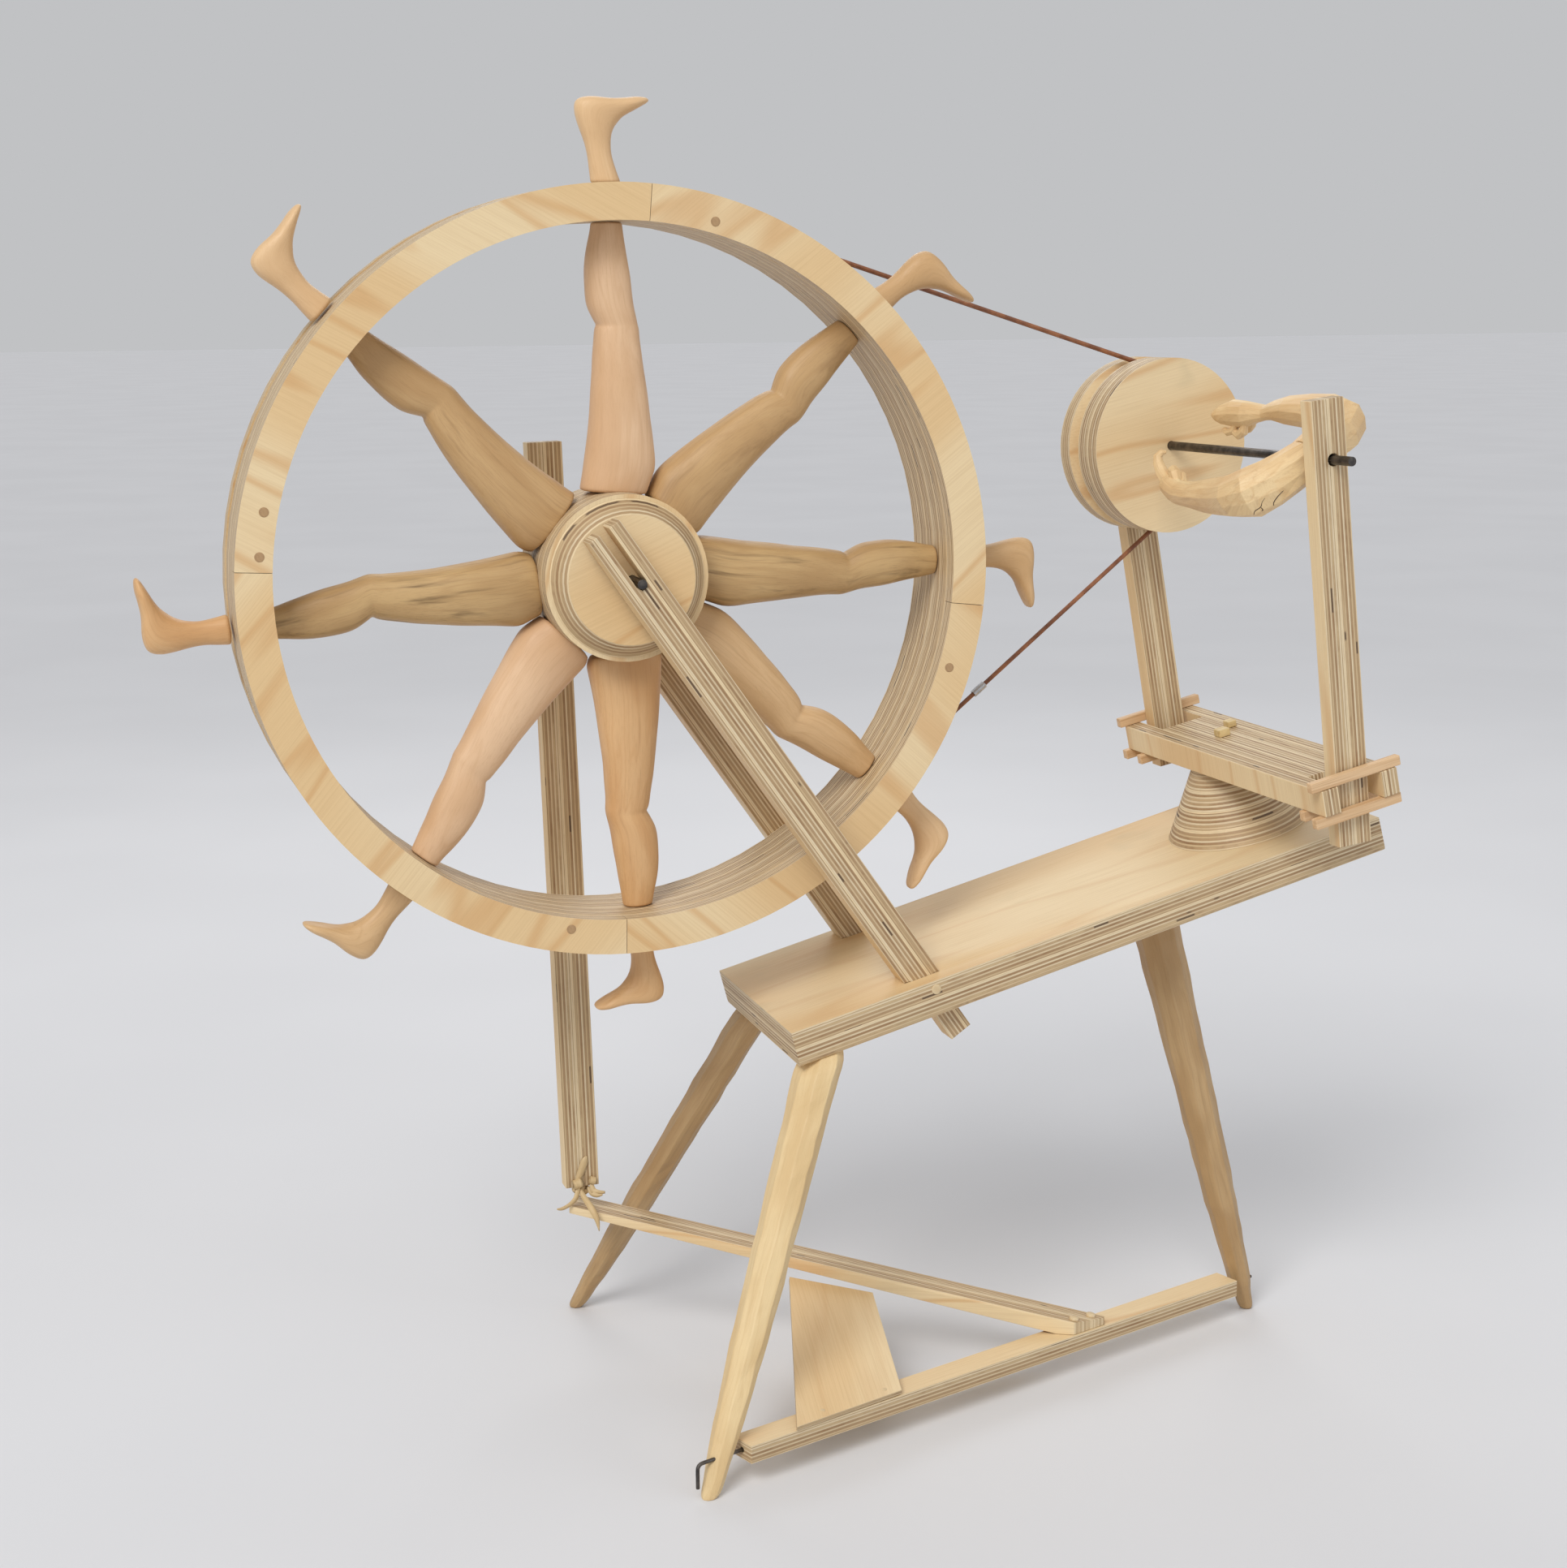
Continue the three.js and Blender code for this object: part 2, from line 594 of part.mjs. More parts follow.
// The carved arms lie near a plane turned up from the horizontal. Each row is a section along
// one arm, from the shared base to the finger tips: [out from the spindle, rise from the plane,
// distance along the spindle, half width in the plane, half thickness across it, heading of the
// arm away from the spindle's square]. The other arm is the same, turned half a turn.
const ARM_PLANE = 25;
const ARM = [
  [0, 0, 52, 20, 20, 0],
  [20, -3, 52, 21, 22, 0],
  [42, -6, 55, 22, 25, 10],
  [61, -8, 65, 24, 26, 45],
  [64, -4, 89, 21, 23, 84],
  [60, 3, 118, 18, 18, 90],
  [59, 6, 150, 15, 15, 92],
  [57, 7, 178, 12, 11, 95],
  [54, 7, 196, 13, 14, 98],
  [49, 5, 218, 14, 16, 102],
  [45, 1, 240, 12, 15, 102],
  [42, -2, 258, 7, 11, 98],
];
const ARM_SIDES = 12;

function armSection([out, rise, along, wide, thick, heading], side) {
  const inPlane = vector(-side * sin(heading), cos(heading), 0).multiplyScalar(wide);
  const centre = vector(side * out, along, side * rise);
  return ring(centre, inPlane, vector(0, 0, thick), ARM_SIDES, 0.25);
}

function flyerArms() {
  const farArm = ARM.slice(1).reverse().map((row) => armSection(row, -1));
  const nearArm = ARM.map((row) => armSection(row, 1));
  const spindleHole = rodAlongY(SPINDLE + GAP, 0, 120);
  return cut(loft([...farArm, ...nearArm]), spindleHole).rotateY(rad(-ARM_PLANE));
}
flyer.add(piece('flyer_arms', flyerArms(), PALE_LIMB));

// ---------------------------------------------------------------- maidens and keys
const MAIDEN_WIDE = 2 * SHEET;
const MAIDEN_ABOVE = 364;
const maidens = [
  { name: 'maiden_front', foot: 41.4, front: 12, lean: 5.56, below: 67, play: 1.5 },
  { name: 'maiden_back', foot: 42.3, front: 365.2, lean: 1.81, below: 50, play: PLAY },
];
carrier.updateMatrixWorld();
for (const { name, foot, front, lean, below, play } of maidens) {
  const half = MAIDEN_WIDE / 2;
  const bar = block([-half, front, -below], [half, front + SHEET, MAIDEN_ABOVE]);
  bar.rotateY(rad(lean)).translate(foot, 0, 0);
  const drill = rodAlongY(SPINDLE + play, SPINDLE_FRONT - 20, SPINDLE_BACK + 20);
  drill.rotateZ(flyer.rotation.z).translate(...flyer.position.toArray());
  carrier.add(piece(name, cut(bar, drill), PLY));
}

const KEY_DEEP = 8.5;
const KEY_TALL = 10;
// Slender keys across the prongs: [name, front face, first end, length, above the carrier].
const KEYS = [
  ['key_front_top', 1, -10, 101, true],
  ['key_front_low', 2, -10, 97, false],
  ['key_front_inner', 33, -4, 96, false],
  ['key_back_top', 383.7, -7, 100, true],
  ['key_back_low', 383.7, -6, 100, false],
  ['key_back_inner', 352, -6, 100, false],
];
for (const [name, front, start, length, above] of KEYS) {
  const low = above ? GAP : -CARRIER_THICK - GAP - KEY_TALL;
  const bar = block([start, front, low], [start + length, front + KEY_DEEP, low + KEY_TALL]);
  carrier.add(piece(name, bar, HARDWOOD));
}

// Two short wedges on the carrier, over the cone: [name, first x, first y, x size, y size, tall].
const WEDGES = [
  ['wedge_left', 36, 246, 13, 13, 8],
  ['wedge_right', 60, 268, 10, 12, 7],
];
for (const [name, x, y, wide, long, tall] of WEDGES) {
  carrier.add(piece(name, block([x, y, GAP], [x + wide, y + long, GAP + tall]), HARDWOOD));
}

// ---------------------------------------------------------------- drive band
object.updateMatrixWorld(true);
const bandOnWheel = RIM_OUTER - GROOVE_DEPTH + BAND + PLAY;
const bandOnPulley = PULLEY_GROOVE + BAND + PLAY;
// The band leaves the groove towards the back, so it lies this much nearer the front wall.
const BAND_FORWARD = 2.5;
const bandY = -HALF_RIM + (GROOVED_SHEET + 0.5) * SHEET - BAND_FORWARD;
const wheelGroove = vector(0, bandY, AXLE_HEIGHT);
const pulleyGroove = flyer.localToWorld(vector(0, grooveFront + SHEET / 2, 0));
const spindleAxis = vector(0, 1, 0).transformDirection(flyer.matrixWorld);
const pulleyUp = vector(1, 0, 0).cross(spindleAxis).normalize();
const pulleyOut = spindleAxis.clone().cross(pulleyUp);
const apart = pulleyGroove.clone().sub(wheelGroove);
const rise = Math.atan2(apart.z, apart.x);
const wrap = Math.acos((bandOnWheel - bandOnPulley) / Math.hypot(apart.x, apart.z));

const onWheel = (angle) => wheelGroove.clone()
  .add(vector(Math.cos(angle), 0, Math.sin(angle)).multiplyScalar(bandOnWheel));
const onPulley = (angle) => pulleyGroove.clone()
  .addScaledVector(pulleyOut, bandOnPulley * Math.cos(angle))
  .addScaledVector(pulleyUp, bandOnPulley * Math.sin(angle));

function around(place, from, to, steps) {
  return Array.from({ length: steps + 1 }, (_, i) => place(from + ((to - from) * i) / steps));
}
const lowRun = [onWheel(rise - wrap), onPulley(rise - wrap)];
const CLIP_SHARE = 0.43; // of the lower run, from the wheel
const CLIP_HALF = 8;
const clipPlace = lowRun[0].clone().lerp(lowRun[1], CLIP_SHARE);
const runDirection = lowRun[1].clone().sub(lowRun[0]).normalize();
const bandPoints = [
  clipPlace.clone().addScaledVector(runDirection, -GAP),
  ...around(onWheel, rise - wrap, rise + wrap - 2 * Math.PI, 42),
  ...around(onPulley, rise + wrap, rise - wrap, 14),
  clipPlace.clone().addScaledVector(runDirection, GAP),
];
object.add(piece('drive_band', tube(bandPoints, BAND, 8), CORD));

const clipOuter = BAND + 1.6;
const clipInner = BAND + GAP;
const clip = turned(
  [[clipInner, -CLIP_HALF], [clipOuter, -CLIP_HALF], [clipOuter, CLIP_HALF], [clipInner, CLIP_HALF]],
  12,
);
const clipMesh = piece('band_clip', clip, STEEL);
clipMesh.position.copy(clipPlace);
clipMesh.quaternion.setFromUnitVectors(vector(0, 1, 0), runDirection);
object.add(clipMesh);

// ---------------------------------------------------------------- treadle
const AXLE_BAR = { start: 24, end: 680, half: 15, tall: SHEET / 2 };
const PIN_IN_BAR = 18;
const barHoles = [
  pinHole(PIN + PLAY, AXLE_BAR.start - 5, AXLE_BAR.start + PIN_IN_BAR + PLAY),
  pinHole(PIN + PLAY, AXLE_BAR.end - PIN_IN_BAR - PLAY, AXLE_BAR.end + 5),
];
const axleBar = block(
  [AXLE_BAR.start, -AXLE_BAR.half, -AXLE_BAR.tall],
  [AXLE_BAR.end, AXLE_BAR.half, AXLE_BAR.tall],
);
treadle.add(piece('treadle_axle_bar', cut(axleBar, ...barHoles), PLY));

// The long bar lies on the axle bar and rises to the footman; its profile starts at the low end.
const LONG_BAR_TURN = 133.6;
const longBarProfile = polygon([
  [0, AXLE_BAR.tall + GAP],
  [48, AXLE_BAR.tall + GAP],
  [562, 113],
  [562, 121],
  [0, 17],
]);
const longBar = upright(longBarProfile, -SHEET, SHEET);
longBar.rotateZ(rad(LONG_BAR_TURN)).translate(472, -22, 0);
const pastFront = block([300, -100, 0], [600, -AXLE_BAR.half + 2, 60]);
treadle.add(piece('treadle_bar', cut(longBar, pastFront), PLY));

const FOOTBOARD_SLOPE = 11.3;
const FOOTBOARD_THICK = 5;
const footboardOutline = polygon([[76, 0], [206, 2], [292, 156], [231, 220]]);
const footboard = new THREE.ExtrudeGeometry(footboardOutline, {
  depth: FOOTBOARD_THICK,
  bevelEnabled: false,
});
const footboardPiece = piece('footboard', footboard, PLY);
footboardPiece.position.set(0, -AXLE_BAR.half - 1.5, AXLE_BAR.tall + 2 * GAP);
footboardPiece.rotation.x = rad(FOOTBOARD_SLOPE);
treadle.add(footboardPiece);

// Steel pins through the two legs; the left one is bent down as a handle.
const HANDLE = { out: -27, drop: -24, bend: 6 };
const leftPin = bent(
  [
    vector(HANDLE.out, 0, HANDLE.drop),
    vector(HANDLE.out, 0, 0),
    vector(AXLE_BAR.start + PIN_IN_BAR, 0, 0),
  ],
  HANDLE.bend,
);
treadle.add(piece('pivot_pin_left', tube(leftPin, PIN, 8), STEEL));
const RIGHT_PIN_END = 718; // just through the right leg
const rightPin = [vector(AXLE_BAR.end - PIN_IN_BAR, 0, 0), vector(RIGHT_PIN_END, 0, 0)];
treadle.add(piece('pivot_pin_right', tube(rightPin, PIN, 8), STEEL));

// ---------------------------------------------------------------- footman
const FOOTMAN_WIDE = 36;
const FOOTMAN_LEAN = 1.56;
const FOOTMAN_LENGTH = 783;
const TIE_Z = 165;
const TIE_RADIUS = 7.5;
const FOOTMAN_BOTTOM = 9.5; // above the tie
const footman = new THREE.Group();
footman.position.set(-12.5, FOOTMAN_FRONT + SHEET / 2, TIE_Z);
object.add(footman);

const footmanBar = block(
  [-FOOTMAN_WIDE / 2, -SHEET / 2, FOOTMAN_BOTTOM],
  [FOOTMAN_WIDE / 2, SHEET / 2, FOOTMAN_BOTTOM + FOOTMAN_LENGTH],
).rotateY(rad(-FOOTMAN_LEAN));
const pinPlace = vector(CRANK * sin(CRANK_ANGLE), 0, AXLE_HEIGHT + CRANK * cos(CRANK_ANGLE));
const crankHole = rodAlongY(ROD + PLAY, -SHEET, SHEET);
crankHole.translate(pinPlace.x - footman.position.x, 0, pinPlace.z - TIE_Z);
footman.add(piece('footman_bar', cut(footmanBar, crankHole), PLY));

const KNOT_LONG = 30;
const NECK_HALF = { wide: 11, thick: 5 };
const knot = new THREE.CylinderGeometry(TIE_RADIUS, TIE_RADIUS, KNOT_LONG, 12).rotateZ(Math.PI / 2);
const neck = block(
  [-NECK_HALF.wide, -NECK_HALF.thick, 0],
  [NECK_HALF.wide, NECK_HALF.thick, FOOTMAN_BOTTOM - 2 * GAP],
);
const tie = piece('footman_tie', join(knot.rotateZ(treadle.rotation.z), neck), STRAW);
footman.add(tie);

object.updateMatrixWorld(true);
const box = new THREE.Box3().setFromObject(object, true);
const middle = box.getCenter(new THREE.Vector3());
object.position.set(-middle.x, -middle.y, -box.min.z);

export default object;
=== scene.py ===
# Looks for the spinning wheel: plywood, carved limbs, steel, leather band and wood shavings.
# Lengths below are millimetres in the part's own groups, and MM turns them into metres.
import json
import math

import bmesh
import bpy
from mathutils import Matrix, Vector, noise
from mathutils.bvhtree import BVHTree


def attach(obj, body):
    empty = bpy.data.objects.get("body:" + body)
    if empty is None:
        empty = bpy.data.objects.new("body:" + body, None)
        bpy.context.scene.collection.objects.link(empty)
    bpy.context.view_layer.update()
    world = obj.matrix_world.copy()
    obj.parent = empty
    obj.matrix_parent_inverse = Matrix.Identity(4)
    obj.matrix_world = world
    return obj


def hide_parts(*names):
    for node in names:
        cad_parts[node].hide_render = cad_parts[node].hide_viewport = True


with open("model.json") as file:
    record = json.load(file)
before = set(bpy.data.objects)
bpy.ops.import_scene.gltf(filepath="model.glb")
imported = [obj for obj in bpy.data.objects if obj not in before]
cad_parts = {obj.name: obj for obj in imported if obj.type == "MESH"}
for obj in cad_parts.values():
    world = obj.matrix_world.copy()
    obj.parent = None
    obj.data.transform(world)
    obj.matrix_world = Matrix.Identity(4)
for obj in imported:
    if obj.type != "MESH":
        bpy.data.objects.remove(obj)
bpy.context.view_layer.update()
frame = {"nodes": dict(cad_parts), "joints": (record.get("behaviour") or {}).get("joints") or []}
NODES = frame["nodes"]
JOINTS = {joint["name"]: joint for joint in frame["joints"]}
MM = 0.001
SHEET = 18


# ---------------------------------------------------------------- groups of the part
def turn(degrees, axis):
    return Matrix.Rotation(math.radians(degrees), 4, axis)


def shift(x, y, z):
    return Matrix.Translation(Vector((x, y, z)) * MM)


# The same places and turns as the part's own groups.
WHEEL_CENTRE = Vector(JOINTS["wheel_spin"]["pos_m"])
BASE = Matrix.Translation((WHEEL_CENTRE.x, WHEEL_CENTRE.y, 0))
WHEEL = Matrix.Translation(WHEEL_CENTRE)
BENCH_TILT = 14.8
POST_LEAN = 34.8
CARRIER_TILT, CARRIER_TURN, CARRIER_PITCH = 12.5, 3, 1.25
SPINDLE_TURN = 2.95
TREADLE_TURN = 19.2
LONG_BAR_TURN = 133.6
FOOTBOARD_SLOPE = 11.3
FOOTMAN_LEAN = 1.56
BENCH = BASE @ shift(135, -4.4, 402.5) @ turn(-BENCH_TILT, "Y")
POST = BASE @ turn(-POST_LEAN, "Y")
CARRIER_CORNER = BASE @ shift(624.4, -261.2, 630.7)
CARRIER = (
    CARRIER_CORNER @ turn(-CARRIER_TILT, "Y") @ turn(CARRIER_TURN, "Z") @ turn(CARRIER_PITCH, "X")
)
FLYER = CARRIER @ shift(74.4, 2.8, 305) @ turn(SPINDLE_TURN, "Z")
TREADLE = BASE @ shift(26.4, -241, 35) @ turn(TREADLE_TURN, "Z")
LONG_BAR = TREADLE @ shift(472, -22, 0) @ turn(LONG_BAR_TURN, "Z")
FOOTBOARD = TREADLE @ shift(0, -16.5, 9.6) @ turn(FOOTBOARD_SLOPE, "X")
FOOTMAN_UPRIGHT = BASE @ shift(-12.5, 147.5, 165)
FOOTMAN = FOOTMAN_UPRIGHT @ turn(-FOOTMAN_LEAN, "Y")


# ---------------------------------------------------------------- camera and light
CAMERA_TURN, CAMERA_RISE, CAMERA_ROLL = -17.80, 10.89, -0.42  # degrees
CAMERA_LENS = 57.94
SENSOR_WIDTH = 36
CAMERA_PLACE = Vector((-584.3, -2348.35, 1095.94))


def make_camera():
    azimuth = math.radians(CAMERA_TURN)
    elevation = math.radians(CAMERA_RISE)
    roll = math.radians(CAMERA_ROLL)
    back = Vector(
        (
            math.sin(azimuth) * math.cos(elevation),
            -math.cos(azimuth) * math.cos(elevation),
            math.sin(elevation),
        )
    )
    right = Vector((math.cos(azimuth), math.sin(azimuth), 0))
    up = back.cross(right)
    across = right * math.cos(roll) + up * math.sin(roll)
    upward = up * math.cos(roll) - right * math.sin(roll)
    data = bpy.data.cameras.new("camera")
    data.sensor_fit = "HORIZONTAL"
    data.sensor_width = SENSOR_WIDTH
    data.lens = CAMERA_LENS
    data.clip_end = 100
    camera = bpy.data.objects.new("camera", data)
    bpy.context.scene.collection.objects.link(camera)
    place = Matrix((across, upward, back)).transposed().to_4x4()
    place.translation = BASE @ (CAMERA_PLACE * MM)
    camera.matrix_world = place
    bpy.context.scene.camera = camera


def area_light(name, place, target, size, power, colour):
    data = bpy.data.lights.new(name, "AREA")
    data.shape = "DISK"
    data.size = size
    data.energy = power
    data.color = colour
    lamp = add_light(name, data, Vector(target) - Vector(place))
    lamp.location = place


def add_light(name, data, direction):
    lamp = bpy.data.objects.new(name, data)
    lamp.rotation_euler = direction.to_track_quat("-Z", "Y").to_euler()
    bpy.context.scene.collection.objects.link(lamp)
    return lamp


make_camera()
area_light("key", (-2.4, -2.6, 3.3), (0, 0, 0.6), 1.8, 42, (1.0, 0.98, 0.95))
area_light("fill", (2.8, -2.4, 2.0), (0, 0, 0.6), 2.4, 14, (0.95, 0.97, 1.0))
area_light("back_light", (0.8, 3.0, 2.8), (0, 0, 0.7), 2.0, 22, (1.0, 1.0, 1.0))
wide_data = bpy.data.lights.new("wide_key", "SUN")
wide_data.energy = 1.15
wide_data.angle = math.radians(28)
add_light("wide_key", wide_data, Vector((2.2, 2.4, -3.2)))

world = bpy.data.worlds.new("studio")
world.use_nodes = True
world.node_tree.nodes["Background"].inputs["Color"].default_value = (0.86, 0.87, 0.89, 1)
world.node_tree.nodes["Background"].inputs["Strength"].default_value = 0.62
bpy.context.scene.world = world
bpy.context.scene.view_settings.view_transform = "Standard"


# ---------------------------------------------------------------- shader helpers
class Shader:
    """Builds one procedural material."""

    def __init__(self, name):
        self.material = bpy.data.materials.new(name)
        self.material.use_nodes = True
        self.tree = self.material.node_tree
        self.surface = self.tree.nodes["Principled BSDF"]

    def put(self, socket, value):
        if isinstance(value, bpy.types.NodeSocket):
            self.tree.links.new(value, socket)
        else:
            socket.default_value = value

    def node(self, kind, settings=(), **inputs):
        made = self.tree.nodes.new(kind)
        for key, value in dict(settings).items():
            setattr(made, key, value)
        for key, value in inputs.items():
            name = key.replace("_", " ")
            self.put(made.inputs[name], value)
        return made

    def math(self, operation, first, second=0.0, third=0.0):
        made = self.tree.nodes.new("ShaderNodeMath")
        made.operation = operation
        for socket, value in zip(made.inputs, (first, second, third)):
            self.put(socket, value)
        return made.outputs[0]

    def ramp(self, value, low, high, to_low=0.0, to_high=1.0):
        made = self.tree.nodes.new("ShaderNodeMapRange")
        made.interpolation_type = "SMOOTHSTEP"
        for socket, number in zip(made.inputs, (value, low, high, to_low, to_high)):
            self.put(socket, number)
        return made.outputs[0]

    def mix(self, factor, first, second):
        made = self.tree.nodes.new("ShaderNodeMix")
        made.data_type = "RGBA"
        # Inputs 6 and 7 and output 2 are the sockets for colours.
        self.put(made.inputs[0], factor)
        self.put(made.inputs[6], first)
        self.put(made.inputs[7], second)
        return made.outputs[2]

    def dot(self, vector, axis):
        made = self.tree.nodes.new("ShaderNodeVectorMath")
        made.operation = "DOT_PRODUCT"
        self.put(made.inputs[0], vector)
        made.inputs[1].default_value = axis
        return made.outputs["Value"]

    def coords(self, x, y, z):
        return self.node("ShaderNodeCombineXYZ", X=x, Y=y, Z=z).outputs[0]

    def noise(self, where, scale, detail=2.0, roughness=0.5):
        made = self.node(
            "ShaderNodeTexNoise", Vector=where, Scale=scale, Detail=detail, Roughness=roughness
        )
        return made.outputs["Fac"]

    def finish(self, colour, roughness, height=None, strength=0.3, distance=0.0004):
        self.put(self.surface.inputs["Base Color"], colour)
        self.put(self.surface.inputs["Roughness"], roughness)
        if height is not None:
            bump = self.node("ShaderNodeBump", Height=height)
            bump.inputs["Strength"].default_value = strength
            bump.inputs["Distance"].default_value = distance
            self.tree.links.new(bump.outputs[0], self.surface.inputs["Normal"])
        return self.material


def rgb(red, green, blue):
    """A display colour, 0 to 255, as a shader colour."""
    linear = [((c / 255 + 0.055) / 1.055) ** 2.4 for c in (red, green, blue)]
    return (*linear, 1.0)


def scaled(shader, where, x, y, z):
    made = shader.node("ShaderNodeMapping", Vector=where)
    made.inputs["Scale"].default_value = (x, y, z)
    return made.outputs[0]


# ---------------------------------------------------------------- materials
PALE_PLY = rgb(222, 204, 170)
BUFF_PLY = rgb(198, 172, 132)
BROWN_PLY = rgb(154, 121, 84)
GLUE = rgb(122, 92, 63)
VENEER = rgb(230, 207, 165)
VENEER_WARM = rgb(222, 190, 141)
LATE_WOOD = rgb(204, 156, 100)
FACE_PLY = 0.065  # share of a sheet's thickness in each face veneer


def plywood(
    name, place, sheet_axis, grain_axis, seed, sheet=SHEET, plies=9, stain=0.0, figure=0.55
):
    """Face veneer where the surface looks along the sheet axis, and layers elsewhere."""
    s = Shader(name)
    turned = place.to_3x3()
    normal, grain = (turned @ Vector(axis) for axis in (sheet_axis, grain_axis))
    across = normal.cross(grain)
    where = s.node("ShaderNodeTexCoord")
    point = where.outputs["Object"]
    base = place.translation
    depth = s.math("SUBTRACT", s.dot(point, normal), base.dot(normal))
    along = s.math("SUBTRACT", s.dot(point, grain), base.dot(grain) + seed)
    side = s.math("SUBTRACT", s.dot(point, across), base.dot(across))
    local = s.coords(along, side, depth)
    facing = s.math("ABSOLUTE", s.dot(where.outputs["Normal"], normal))
    is_face = s.ramp(facing, 0.6, 0.8)

    # Face veneer: broad contour figure, warm patches and fine fibres.
    slow = s.noise(scaled(s, local, 1.3, 9, 0.1), 1.0, 2.0, 0.5)
    contour = s.math("PINGPONG", s.math("MULTIPLY", slow, 5.5), 0.5)
    late = s.ramp(contour, 0.33, 0.5)
    patches = s.ramp(s.noise(scaled(s, local, 1.6, 6.0, 0.1), 1.0, 1.0), 0.4, 0.62)
    fibres = s.noise(scaled(s, local, 12, 700, 700), 1.0, 3.0, 0.6)
    face = s.mix(patches, VENEER, VENEER_WARM)
    face = s.mix(s.math("MULTIPLY", late, figure), face, LATE_WOOD)
    face = s.mix(s.ramp(fibres, 0.35, 0.75, 0.0, 0.22), face, rgb(186, 150, 104))

    # Edge: a pale face ply on each side of a sheet, and thin plies of two kinds between them.
    wander = s.noise(scaled(s, local, 5, 5, 20), 1.0, 1.0)
    sheets = s.math("MULTIPLY", depth, 1 / (sheet * MM))
    sheets = s.math("ADD", sheets, s.math("MULTIPLY", wander, 0.03))
    within = s.math("FRACT", sheets)
    inward = s.math("SUBTRACT", 0.5, s.math("ABSOLUTE", s.math("SUBTRACT", within, 0.5)))
    is_core = s.ramp(inward, FACE_PLY, FACE_PLY + 0.015)
    layers = s.math("MULTIPLY", sheets, float(plies))
    index = s.math("FLOOR", layers)
    inside = s.math("FRACT", layers)
    kind = s.math("PINGPONG", index, 1.0)
    tint = s.node("ShaderNodeTexWhiteNoise", {"noise_dimensions": "1D"}, W=index).outputs["Value"]
    light = s.mix(tint, PALE_PLY, BUFF_PLY)
    dark = s.mix(tint, BUFF_PLY, BROWN_PLY)
    edge = s.mix(kind, light, dark)
    cell = s.coords(s.math("MULTIPLY", along, 13), s.math("MULTIPLY", side, 13), index)
    streak = s.noise(cell, 1.0, 4.0, 0.7)
    streak_share = s.math("MULTIPLY_ADD", kind, 0.62, 0.16)
    edge = s.mix(s.math("MULTIPLY", s.ramp(streak, 0.45, 0.7), streak_share), edge, rgb(140, 104, 68))
    line = s.ramp(s.math("ABSOLUTE", s.math("SUBTRACT", inside, 0.5)), 0.38, 0.49)
    edge = s.mix(s.math("MULTIPLY", line, 0.58), edge, GLUE)
    edge = s.mix(is_core, s.mix(tint, PALE_PLY, VENEER), edge)
    glued = s.ramp(inward, 0.0, 0.012, 1.0, 0.0)
    edge = s.mix(s.math("MULTIPLY", glued, 0.45), edge, GLUE)
    fuzz = s.noise(scaled(s, local, 70, 70, 1400), 1.0, 2.0, 0.6)
    edge = s.mix(s.ramp(fuzz, 0.4, 0.75, 0.0, 0.3), edge, rgb(172, 142, 104))
    # Core voids: spots in the core plies coloured dark as painted shade of the holes; the bump also
    # sinks them.
    void_cell = s.coords(s.math("MULTIPLY", along, 22), s.math("MULTIPLY", side, 22), index)
    shaded_void = s.ramp(s.noise(void_cell, 1.0, 0.0), 0.745, 0.76)
    shaded_void = s.math("MULTIPLY", shaded_void, s.math("MULTIPLY", kind, is_core))
    edge = s.mix(s.math("MULTIPLY", shaded_void, 0.8), edge, rgb(70, 48, 32))
    colour = s.mix(is_face, edge, face)
    if stain:
        spots = s.ramp(s.noise(scaled(s, local, 7, 7, 7), 1.0, 3.0, 0.6), 0.58, 0.7)
        colour = s.mix(s.math("MULTIPLY", spots, stain), colour, rgb(158, 152, 120))
    rough = s.ramp(fibres, 0.3, 0.8, 0.5, 0.66)
    relief = s.math("SUBTRACT", s.math("ADD", fibres, s.math("MULTIPLY", streak, 0.5)), shaded_void)
    relief = s.math("SUBTRACT", relief, s.math("MULTIPLY", line, 0.35))
    return s.finish(colour, rough, relief, 0.22, 0.0003)


def solid_wood(name, place, grain_axis, light, middle, dark):
    """Split hardwood with straight grain along one axis of a group."""
    s = Shader(name)
    grain = place.to_3x3() @ Vector(grain_axis)
    side = grain.orthogonal().normalized()
    rise = grain.cross(side)
    point = s.node("ShaderNodeTexCoord").outputs["Object"]
    local = s.coords(s.dot(point, grain), s.dot(point, side), s.dot(point, rise))
    fibres = s.noise(scaled(s, local, 14, 900, 900), 1.0, 3.0, 0.6)
    bands = s.noise(scaled(s, local, 6, 160, 160), 1.0, 2.0)
    colour = s.mix(s.ramp(bands, 0.35, 0.65), light, middle)
    colour = s.mix(s.ramp(fibres, 0.45, 0.78, 0.0, 0.5), colour, dark)
    return s.finish(colour, s.ramp(fibres, 0.3, 0.8, 0.42, 0.58), fibres, 0.3, 0.0003)


